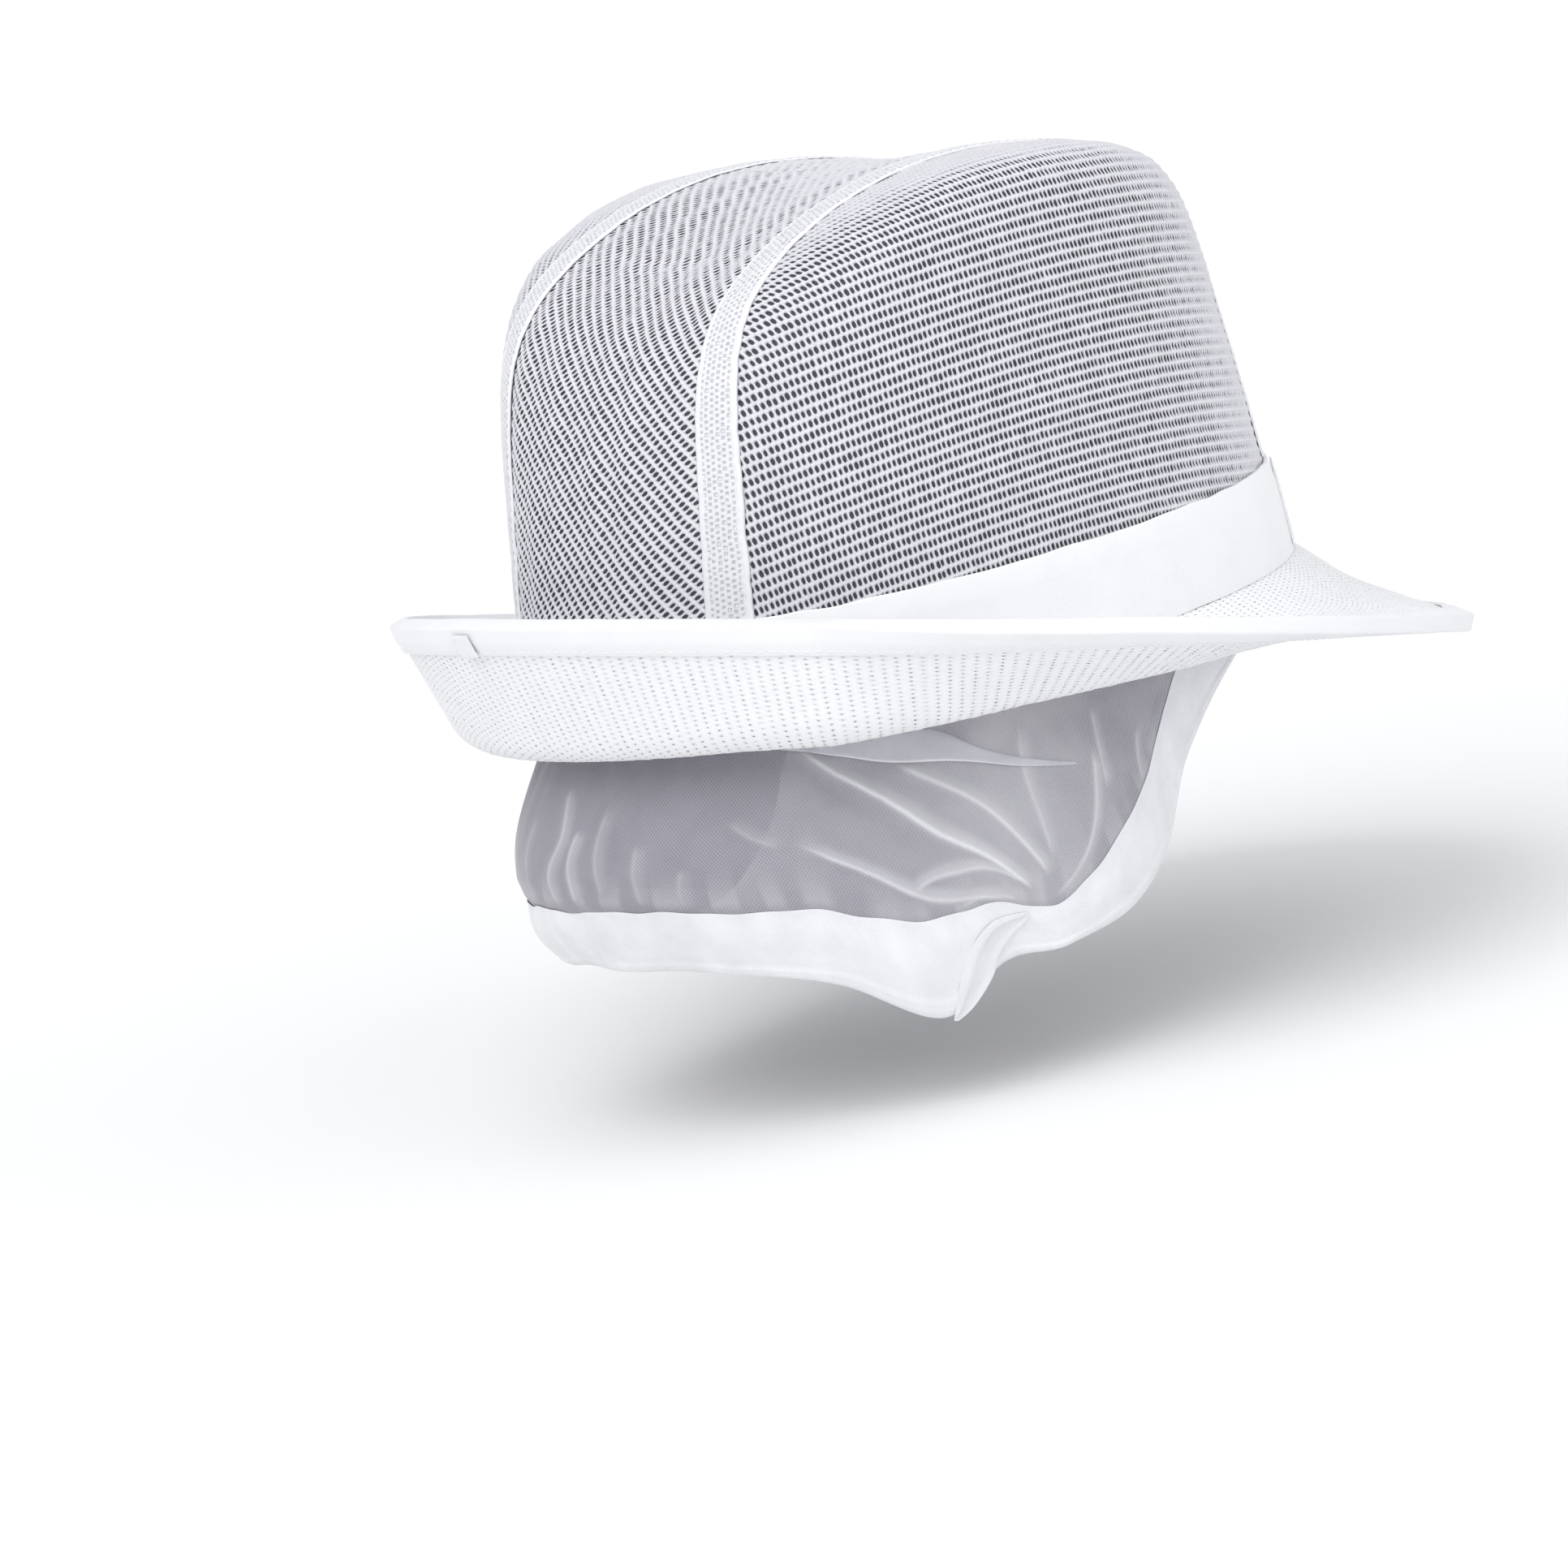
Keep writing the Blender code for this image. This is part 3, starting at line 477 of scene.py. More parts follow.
def lattice(name, place, c_range, s_range, pitch, hole, keep, offs, seed, wander=0.06, lean=0.12, size_field=None, uv_scale=(1.0, 1.0), wrap=False):
    """Open mesh cloth: a single sheet of cells, each with a real hole.
    place(c, s, off) gives points; rows run along c, one above the other along s.
    pitch (along, across), hole (half width, half height), offs (row line, column, hole rim).
    Every other row is shifted by half a cell; wrap joins the last row to the first."""
    rng = np.random.default_rng(seed)
    pc, ps = pitch
    cols = int(math.ceil((c_range[1] - c_range[0]) / pc))
    rows = int(math.ceil((s_range[1] - s_range[0]) / ps - 1e-6))
    i, j = np.meshgrid(np.arange(rows), np.arange(cols), indexing="ij")
    low = high = i % 2                    # half steps by which the cell is shifted
    mid_c = c_range[0] + (j + 0.5 + 0.5 * (i % 2)) * pc
    mid_s = s_range[0] + (i + 0.5) * ps
    ok = keep(mid_c, mid_s)
    i, j, low, high, mid_c, mid_s = (x[ok] for x in (i, j, low, high, mid_c, mid_s))
    n = len(i)
    # line vertices: (row line, half step)
    line_w = 2 * cols + 3

    def on_line(row, half):
        return (row % rows if wrap else row) * line_w + half

    base_mid = (rows + 1) * line_w

    def on_side(row, col):
        return base_mid + row * (cols + 1) + col

    total = base_mid + rows * (cols + 1)
    outer = np.stack(
        [
            on_line(i, 2 * j + low),
            on_line(i, 2 * j + low + 1),
            on_line(i, 2 * j + low + 2),
            on_side(i, j + 1),
            on_line(i + 1, 2 * j + high + 2),
            on_line(i + 1, 2 * j + high + 1),
            on_line(i + 1, 2 * j + high),
            on_side(i, j),
        ],
        -1,
    )
    half_r, half_c = np.meshgrid(np.arange(rows + 1), np.arange(line_w), indexing="ij")
    line_cs = np.stack([c_range[0] + half_c * pc / 2.0, s_range[0] + half_r * ps], -1).reshape(-1, 2)
    side_r, side_c = np.meshgrid(np.arange(rows), np.arange(cols + 1), indexing="ij")
    side_cs = np.stack([c_range[0] + (side_c + 0.5 * (side_r % 2)) * pc, s_range[0] + (side_r + 0.5) * ps], -1).reshape(-1, 2)
    spots = np.concatenate([line_cs, side_cs])
    spots = spots + rng.normal(0, wander * 0.5, spots.shape)
    off = np.concatenate([np.full(len(line_cs), offs[0]), np.full(len(side_cs), offs[1])])
    off = off + rng.normal(0, 0.03, len(off))
    angle = np.radians([225.0, 270.0, 315.0, 0.0, 45.0, 90.0, 135.0, 180.0])
    scale = 1.0 + rng.normal(0, 0.09, (n, 1))
    if size_field is not None:
        scale = scale * size_field(mid_c, mid_s)[:, None]
    hx = hole[0] * np.cos(angle)[None, :] * scale
    hy = hole[1] * np.sin(angle)[None, :] * (0.5 + 0.5 * scale)
    hx = hx + lean * pc * hy / ps
    centre_c = mid_c + rng.normal(0, wander, n)
    centre_s = mid_s + rng.normal(0, wander, n)
    rim = np.stack([centre_c[:, None] + hx, centre_s[:, None] + hy], -1)
    rim_off = offs[2] + rng.normal(0, 0.04, (n, 8))
    ring_at = total + np.arange(n)[:, None] * 8 + np.arange(8)[None, :]
    nxt = np.roll(np.arange(8), -1)
    quads = np.stack([outer, outer[:, nxt], ring_at[:, nxt], ring_at], -1).reshape(-1, 4)
    flat = np.concatenate([spots, rim.reshape(-1, 2)])
    depth = np.concatenate([np.zeros(len(spots)), np.ones(n * 8)])
    off = np.concatenate([off, rim_off.ravel()])
    used, index = np.unique(quads, return_inverse=True)
    quads = index.reshape(quads.shape)
    flat, depth, off = flat[used], depth[used], off[used]
    points = place(flat[:, 0], flat[:, 1], off)
    made = to_mesh(name, points, quads, uv=flat * np.array(uv_scale), more={"depth": depth})
    return made


def face_out(obj, centre=(0.0, 0.0, 0.04)):
    """Turns an open sheet so that its front faces away from centre."""
    mesh = obj.data
    n = len(mesh.polygons)
    at, way, area = np.empty(n * 3, np.float32), np.empty(n * 3, np.float32), np.empty(n, np.float32)
    mesh.polygons.foreach_get("center", at)
    mesh.polygons.foreach_get("normal", way)
    mesh.polygons.foreach_get("area", area)
    if (((at.reshape(-1, 3) - np.array(centre)) * way.reshape(-1, 3)).sum(-1) * area).sum() < 0.0:
        mesh.flip_normals()
    return obj


def tube(paths, radius, sides=5, squash=1.0):
    """Points and faces of closed thread-like tubes along many short paths (n, k, 3)."""
    paths = np.asarray(paths, float)
    n, k = paths.shape[:2]
    along = np.gradient(paths, axis=1)
    along /= np.maximum(np.linalg.norm(along, axis=-1)[..., None], 1e-9)
    ref = np.array([0.31, 0.22, 0.92])
    side = np.cross(along, ref)
    side /= np.maximum(np.linalg.norm(side, axis=-1)[..., None], 1e-9)
    up = np.cross(side, along)
    taper = np.sin(np.linspace(0.25, np.pi - 0.25, k)) ** 0.35 * radius
    ang = np.linspace(0, 2 * np.pi, sides, endpoint=False)
    ring = (
        paths[:, :, None, :]
        + side[:, :, None, :] * (np.cos(ang)[None, None, :, None] * taper[None, :, None, None])
        + up[:, :, None, :] * (np.sin(ang)[None, None, :, None] * taper[None, :, None, None] * squash)
    )
    points = ring.reshape(-1, 3)
    a, i, j = np.meshgrid(np.arange(n), np.arange(k - 1), np.arange(sides), indexing="ij")
    b = (j + 1) % sides
    base = a * k * sides
    quads = np.stack([base + i * sides + j, base + i * sides + b, base + (i + 1) * sides + b, base + (i + 1) * sides + j], -1).reshape(-1, 4)
    start = np.arange(n)[:, None] * k * sides
    caps = np.concatenate([start + np.arange(sides)[::-1], start + (k - 1) * sides + np.arange(sides)])
    return points, [quads, caps]


def stitches(name, line, normal, length, gap, radius, bury=0.35):
    """A row of sewing stitches along line (k, 3); each dips into the cloth at its ends."""
    line = np.asarray(line, float)
    step = np.linalg.norm(np.diff(line, axis=0), axis=1)
    run = np.concatenate([[0.0], np.cumsum(step)])
    count = int(run[-1] // (length + gap))
    starts = np.arange(count) * (length + gap) + gap / 2.0
    t = np.linspace(0.0, 1.0, 5)
    at = starts[:, None] + t[None, :] * length
    pts = np.stack([np.interp(at, run, line[:, k]) for k in range(3)], -1)
    nrm = np.stack([np.interp(at, run, np.asarray(normal)[:, k]) for k in range(3)], -1)
    lift = np.array([-bury, 0.12, 0.2, 0.12, -bury]) * radius * 2.0
    pts = pts + nrm * lift[None, :, None]
    points, faces = tube(pts, radius)
    return to_mesh(name, points, faces)


def join_meshes(name, objs):
    """One object from several, materials kept."""
    bpy.ops.object.select_all(action="DESELECT")
    for o in objs:
        o.select_set(True)
    bpy.context.view_layer.objects.active = objs[0]
    bpy.ops.object.join()
    made = bpy.context.view_layer.objects.active
    made.name = name
    made.data.name = name
    return made


# ================================================================ materials
def fabric(name, colour, rough=0.72, pitch=(0.45, 0.45), weave=0.35, sheen=0.25, rim_shade=None, alpha=1.0,
           inner=None, crease=None, grain=0.0, mottle=0.03, distance=0.06, slub=1.0, cloth=True):
    """A woven or knitted cloth. pitch is the thread spacing in mm along the cloth's two directions,
    rim_shade the colour at a hole's rim (painted shade of the recess), inner the colour of the cloth's back face (on
    the crown mesh a painted shade of the crown's inside), crease how much more of the light the cloth stops along its
    folds (its "crease" values)."""
    mat = bpy.data.materials.new(name)
    mat.use_nodes = True
    tree = mat.node_tree
    nodes, links = tree.nodes, tree.links
    shader = nodes["Principled BSDF"]
    shader.inputs["Roughness"].default_value = rough
    shader.inputs["Sheen Weight"].default_value = sheen
    shader.inputs["Sheen Roughness"].default_value = 0.45
    shader.inputs["Specular IOR Level"].default_value = 0.25
    where = nodes.new("ShaderNodeAttribute")
    where.attribute_name = "cloth"
    coord = nodes.new("ShaderNodeTexCoord")
    source = where.outputs["Vector"] if cloth else None
    if source is None:
        big = nodes.new("ShaderNodeVectorMath")
        big.operation = "SCALE"
        big.inputs["Scale"].default_value = 1000.0
        links.new(coord.outputs["Object"], big.inputs[0])
        source = big.outputs[0]

    # slow wander of the threads, so that no row is quite straight
    wob = nodes.new("ShaderNodeTexNoise")
    wob.inputs["Scale"].default_value = 0.35
    wob.inputs["Detail"].default_value = 2.0
    links.new(source, wob.inputs["Vector"])
    shift = nodes.new("ShaderNodeVectorMath")
    shift.operation = "MULTIPLY_ADD"
    shift.inputs[1].default_value = (0.25 * slub, 0.25 * slub, 0.0)
    links.new(wob.outputs["Color"], shift.inputs[0])
    links.new(source, shift.inputs[2])
    parts = nodes.new("ShaderNodeSeparateXYZ")
    links.new(shift.outputs[0], parts.inputs[0])

    def wave(axis, spacing, phase=0.0):
        times = nodes.new("ShaderNodeMath")
        times.operation = "MULTIPLY_ADD"
        times.inputs[1].default_value = 2.0 * math.pi / spacing
        times.inputs[2].default_value = phase
        links.new(parts.outputs[axis], times.inputs[0])
        sine = nodes.new("ShaderNodeMath")
        sine.operation = "SINE"
        links.new(times.outputs[0], sine.inputs[0])
        return sine.outputs[0]

    # plain weave: the product of two waves goes over and under
    wx, wy = wave("X", 2.0 * pitch[0]), wave("Y", 2.0 * pitch[1])
    cross = nodes.new("ShaderNodeMath")
    cross.operation = "MULTIPLY"
    links.new(wx, cross.inputs[0])
    links.new(wy, cross.inputs[1])
    fine = nodes.new("ShaderNodeTexNoise")
    fine.inputs["Scale"].default_value = 2.2
    fine.inputs["Detail"].default_value = 5.0
    links.new(source, fine.inputs["Vector"])
    height = nodes.new("ShaderNodeMath")
    height.operation = "MULTIPLY_ADD"
    height.inputs[1].default_value = 0.5
    links.new(cross.outputs[0], height.inputs[0])
    links.new(fine.outputs["Fac"], height.inputs[2])
    bump = nodes.new("ShaderNodeBump")
    bump.inputs["Strength"].default_value = weave
    bump.inputs["Distance"].default_value = distance * MM
    links.new(height.outputs[0], bump.inputs["Height"])
    links.new(bump.outputs["Normal"], shader.inputs["Normal"])

    # colour: the base with a slow mottle and a fine thread shade
    slow = nodes.new("ShaderNodeTexNoise")
    slow.inputs["Scale"].default_value = 0.09
    slow.inputs["Detail"].default_value = 3.0
    links.new(source, slow.inputs["Vector"])
    both = nodes.new("ShaderNodeMath")
    both.operation = "ADD"
    links.new(slow.outputs["Fac"], both.inputs[0])
    links.new(fine.outputs["Fac"], both.inputs[1])
    ramp = nodes.new("ShaderNodeMapRange")
    ramp.inputs["From Min"].default_value = 0.7
    ramp.inputs["From Max"].default_value = 1.3
    ramp.inputs["To Min"].default_value = 1.0 - mottle
    ramp.inputs["To Max"].default_value = 1.0 + mottle * 0.5
    links.new(both.outputs[0], ramp.inputs["Value"])
    tint = nodes.new("ShaderNodeVectorMath")
    tint.operation = "SCALE"
    shade = nodes.new("ShaderNodeMath")
    shade.operation = "MULTIPLY_ADD"
    shade.inputs[1].default_value = grain
    links.new(cross.outputs[0], shade.inputs[0])
    links.new(ramp.outputs["Result"], shade.inputs[2])
    links.new(shade.outputs[0], tint.inputs["Scale"])
    # painted shade: the colour turns to the rim colour towards each hole's rim, as shade in a recess
    if rim_shade is not None:
        spot = nodes.new("ShaderNodeAttribute")
        spot.attribute_name = "depth"
        mix = nodes.new("ShaderNodeMix")
        mix.data_type = "RGBA"
        mix.inputs["A"].default_value = (*colour, 1.0)
        mix.inputs["B"].default_value = (*rim_shade, 1.0)
        power = nodes.new("ShaderNodeMath")
        power.operation = "POWER"
        power.inputs[1].default_value = 1.8
        links.new(spot.outputs["Fac"], power.inputs[0])
        links.new(power.outputs[0], mix.inputs["Factor"])
        links.new(mix.outputs["Result"], tint.inputs[0])
    else:
        tint.inputs[0].default_value = colour
    outcome = tint.outputs[0]
    # the back face takes the inner colour: on the crown mesh a painted shade of the crown's inside, on the dark sheet
    # behind it a lighter grey
    if inner is not None:
        face = nodes.new("ShaderNodeNewGeometry")
        backface_shade_mix = nodes.new("ShaderNodeMix")
        backface_shade_mix.data_type = "RGBA"
        backface_shade_mix.inputs["B"].default_value = (*inner, 1.0)
        links.new(face.outputs["Backfacing"], backface_shade_mix.inputs["Factor"])
        links.new(outcome, backface_shade_mix.inputs["A"])
        outcome = backface_shade_mix.outputs["Result"]
    fold = None
    if crease is not None:
        fold = nodes.new("ShaderNodeAttribute")
        fold.attribute_name = "crease"
        bright = nodes.new("ShaderNodeMix")
        bright.data_type = "RGBA"
        bright.inputs["B"].default_value = (0.93, 0.93, 0.95, 1.0)
        links.new(fold.outputs["Fac"], bright.inputs["Factor"])
        links.new(outcome, bright.inputs["A"])
        outcome = bright.outputs["Result"]
    links.new(outcome, shader.inputs["Base Color"])
    if alpha < 1.0:
        # thin places and gathered places of a sheer net differ a little in how much shows through
        clear = nodes.new("ShaderNodeMapRange")
        clear.inputs["From Min"].default_value = 0.3
        clear.inputs["From Max"].default_value = 0.7
        clear.inputs["To Min"].default_value = alpha - 0.05
        clear.inputs["To Max"].default_value = alpha + 0.05
        links.new(slow.outputs["Fac"], clear.inputs["Value"])
        amount = clear.outputs["Result"]
        if fold is not None:
            more = nodes.new("ShaderNodeMath")
            more.operation = "MULTIPLY_ADD"
            more.use_clamp = True
            more.inputs[1].default_value = crease
            links.new(fold.outputs["Fac"], more.inputs[0])
            links.new(amount, more.inputs[2])
            amount = more.outputs[0]
        links.new(amount, shader.inputs["Alpha"])
    return mat


def paint(obj, mat):
    obj.data.materials.clear()
    obj.data.materials.append(mat)
    return obj


# ================================================================ crown
def side_tables(y_max=89.0):
    """Points of the crown's side on an even grid of cloth: (c, s) in mm. c runs along the base from
    the back (+Y) to the front, s up the wall."""
    y = np.linspace(y_max, -y_max, 357)
    z0 = BASE_Z
    turn = np.concatenate([np.linspace(0.0, 0.5 * np.pi, 361)])
    start = np.stack(np.broadcast_arrays(0 * y[:, None] + 0.0, y[:, None], z0 + 0 * turn[None, :]), -1)
    way = np.stack(np.broadcast_arrays(np.cos(turn)[None, :] + 0 * y[:, None], 0.0 * y[:, None], np.sin(turn)[None, :]), -1)
    line = to_crown(start, way)
    base = line[:, 0]
    c_run = np.concatenate([[0.0], np.cumsum(np.linalg.norm(np.diff(base, axis=0), axis=1))])
    s_run = np.concatenate([np.zeros((len(y), 1)), np.cumsum(np.linalg.norm(np.diff(line, axis=1), axis=2), axis=1)], 1)
    c_at = np.arange(0.0, c_run[-1], 0.8)
    s_at = np.arange(0.0, s_run.max(), 0.7)
    even = np.zeros((len(y), len(s_at), 3))
    for k in range(len(y)):
        for d in range(3):
            even[k, :, d] = np.interp(s_at, s_run[k], line[k, :, d])
    index = np.interp(c_at, c_run, np.arange(len(y)))
    i = np.clip(index.astype(int), 0, len(y) - 2)
    f = (index - i)[:, None, None]
    grid = even[i] * (1 - f) + even[i + 1] * f
    return grid, c_at[-1], s_at[-1]


def normals_of(points):
    step = 0.05
    x, y, z = points[..., 0], points[..., 1], points[..., 2]
    grad = np.stack(
        [
            crown_level(x + step, y, z) - crown_level(x - step, y, z),
            crown_level(x, y + step, z) - crown_level(x, y - step, z),
            crown_level(x, y, z + step) - crown_level(x, y, z - step),
        ],
        -1,
    )
    grad[..., 2] = np.where(z < 2.0, 0.0, grad[..., 2])
    return grad / np.maximum(np.linalg.norm(grad, axis=-1)[..., None], 1e-9)


def side_panel_mesh(name, side, mat, shade_sheet_mat, seed):
    grid, c_max, s_max = side_tables()
    normal = normals_of(grid)
    soft = noise_field(seed, grid.shape[0], grid.shape[1])
    # the cloth's rows rise towards the front at the back of the panel and level out further on
    run = np.linspace(-40.0, c_max + 40.0, 400)
    slope = np.tan(np.radians(np.clip(11.5 - (run - 20.0) * 0.155, -9.0, 14.0)))
    rise = np.concatenate([[0.0], np.cumsum(0.5 * (slope[1:] + slope[:-1]) * np.diff(run))])
    lean = math.tan(math.radians(8.0))

    def laid(p, q):
        c = p - lean * q
        return c, q + np.interp(c, run, rise)

    def surface(c, s, off):
        a, b = c / 0.8, s / 0.7
        at = table_2d(grid, a, b)
        n = table_2d(normal, a, b)
        n /= np.maximum(np.linalg.norm(n, axis=-1)[..., None], 1e-9)
        ease = table_2d(soft[..., None], a, b)[..., 0]
        at = at + n * (off - 0.12 + 0.22 * ease)[..., None]
        at[..., 0] *= side
        return at

    def place(p, q, off):
        c, s = laid(p, q)
        return surface(c, s, off)

    def within(c, s, more=0.0):
        at = table_2d(grid, c / 0.8, s / 0.7)
        return (at[..., 0] > SEAM_X - 0.6 - more) & (c > 0) & (c < c_max) & (s > 3.0) & (s < s_max)

    def keep(p, q):
        return within(*laid(p, q))

    made = lattice(name, place, (0.0, c_max + 14.0), (-12.0, s_max + 22.0), (1.335, 2.70), (0.42, 0.85), keep,
                   (-0.04, -0.34, -0.62), seed)
    paint(made, mat)
    face_out(made)
    # the dark sheet behind the holes is painted shade for the inside of the crown
    layer = shade_sheet_under_mesh(name + "_fine", surface, (0.0, c_max), (0.0, s_max), within, shade_sheet_mat)
    return join_meshes(name, [made, layer])


def shade_sheet_under_mesh(name, surface, c_range, s_range, within, mat, pitch=1.6, depth=-0.86):
    """A plain dark sheet just behind the open mesh, following it: painted shade standing in for the shade inside the
    crown, so that the holes read dark.
    """
    c = np.arange(c_range[0], c_range[1], pitch)
    s = np.arange(s_range[0], s_range[1], pitch)
    C, S = np.meshgrid(c, s, indexing="ij")
    points = surface(C, S, depth + 0.0 * C)
    faces = grid_faces(len(c), len(s))
    mid_c, mid_s = C.ravel()[faces].mean(1), S.ravel()[faces].mean(1)
    faces = faces[within(mid_c, mid_s, 0.0)]
    used, index = np.unique(faces, return_inverse=True)
    flat = np.stack([C.ravel()[used], S.ravel()[used]], -1)
    made = to_mesh(name, points.reshape(-1, 3)[used], index.reshape(faces.shape), uv=flat)
    paint(made, mat)
    return face_out(made)


def noise_field(seed, a, b, waves=9):
    """A smooth random field of a by b values, about 1 high."""
    rng = np.random.default_rng(seed)
    u, v = np.meshgrid(np.linspace(0, 1, a), np.linspace(0, 1, b), indexing="ij")
    total = np.zeros((a, b))
    for _ in range(waves):
        k = rng.uniform(-9, 9, 2)
        total += rng.normal() * np.cos(2 * np.pi * (k[0] * u + k[1] * v) + rng.uniform(0, 6.28))
    return total / math.sqrt(waves)


def gusset_tables():
    """Points of the centre panel: (x, run) with run from the back base over the top to the front."""
    xs = np.linspace(-SEAM_X, SEAM_X, 63)
    lines, longest = [], 0.0
    turn = np.linspace(0.0, math.pi, 1201)
    for x in xs:
        line = over_crown(x, turn)
        run = np.concatenate([[0.0], np.cumsum(np.linalg.norm(np.diff(line, axis=0), axis=1))])
        lines.append((line, run))
        longest = max(longest, run[-1])
    share = np.linspace(0.0, 1.0, 501)
    grid = np.zeros((len(xs), len(share), 3))
    for k, (line, run) in enumerate(lines):
        for d in range(3):
            grid[k, :, d] = np.interp(share * run[-1], run, line[:, d])
    return xs, grid, longest


def ridge(x, centre, width):
    t = (x - centre) / width
    return np.exp(-t * t)


def gusset_soft(x, l):
    """How far the centre panel stands off its smooth shape: x across, l run from the back base, mm."""
    mid = np.cos(np.pi * np.clip(x / (2 * SEAM_X), -0.5, 0.5)) ** 2
    top = np.clip(np.sin(np.pi * np.clip((l - 70.0) / 250.0, 0.0, 1.0)), 0.0, 1.0)
    dent = -2.3 * mid * top
    # the soft folds across the back, below the top
    lean = l - 0.32 * (x - 10.0)
    fold = 0.42 * ridge(lean, 104.0, 6.5) - 0.38 * ridge(lean, 115.5, 7.0) + 0.32 * ridge(lean, 128.0, 7.5) - 0.2 * ridge(lean, 93.0, 8.0)
    fold = fold * (0.35 + 0.65 * mid)
    more = 0.35 * ridge(l + 0.5 * x, 62.0, 9.0) - 0.3 * ridge(l + 0.5 * x, 74.0, 8.0) + 0.45 * ridge(l - 0.25 * x, 285.0, 6.0) - 0.45 * ridge(l - 0.25 * x, 296.0, 7.0)
    return dent + fold + more * mid


def centre_panel_mesh(mat, shade_sheet_mat):
    xs, grid, longest = gusset_tables()
    normal = normals_of(grid)
    soft = noise_field(77, grid.shape[0], grid.shape[1], 14)
    turn = math.radians(45.5)
    ct, st = math.cos(turn), math.sin(turn)
    half = longest / 2.0
    slant = 0.17

    def place(c, s, off):
        # rows of the cloth run along the panel, turned to one side
        c = c + slant * s
        return surface(s * ct + c * st, -s * st + c * ct + half, off)

    def surface(x, l, off):
        a = (x + SEAM_X) / (2 * SEAM_X) * (grid.shape[0] - 1)
        b = np.clip(l / longest, 0, 1) * (grid.shape[1] - 1)
        at = table_2d(grid, a, b)
        n = table_2d(normal, a, b)
        n /= np.maximum(np.linalg.norm(n, axis=-1)[..., None], 1e-9)
        ease = table_2d(soft[..., None], a, b)[..., 0]
        edge = np.clip((SEAM_X - np.abs(x)) / 12.0, 0.0, 1.0)
        at = at + n * (off - 0.12 + gusset_soft(x, l) * edge + 0.18 * ease)[..., None]
        return at

    def within(x, l, more=0.0):
        return (np.abs(x) < SEAM_X + 0.3) & (l > 4.0 - more) & (l < longest - 4.0 + more)

    def keep(c, s):
        c = c + slant * s
        return within(s * ct + c * st, -s * st + c * ct + half)

    span_c = (half * ct + SEAM_X * st) + 3.0 + slant * (half * st + SEAM_X * ct)
    span_s = (half * st + SEAM_X * ct) + 3.0
    obj = lattice("crown_centre_panel_mesh", place, (-span_c, span_c), (-span_s, span_s), (1.56, 2.92),
                  (0.48, 0.90), keep, (-0.04, -0.24, -0.46), 91)
    face_out(paint(obj, mat))
    # the dark sheet behind the holes is painted shade for the inside of the crown
    layer = shade_sheet_under_mesh(obj.name + "_fine", surface, (-SEAM_X, SEAM_X), (0.0, longest), within, shade_sheet_mat, depth=-0.74)
    return join_meshes(obj.name, [obj, layer])


def seam_frame(count, x):
    turn = np.linspace(0.0, math.pi, 1441)
    line = over_crown(x, turn)
    line = line[line[:, 2] > BAND_Z[1] - 3.0]
    run = np.concatenate([[0.0], np.cumsum(np.linalg.norm(np.diff(line, axis=0), axis=1))])
    want = np.linspace(0.0, run[-1], count)
    return np.stack([np.interp(want, run, line[:, k]) for k in range(3)], -1), run[-1]


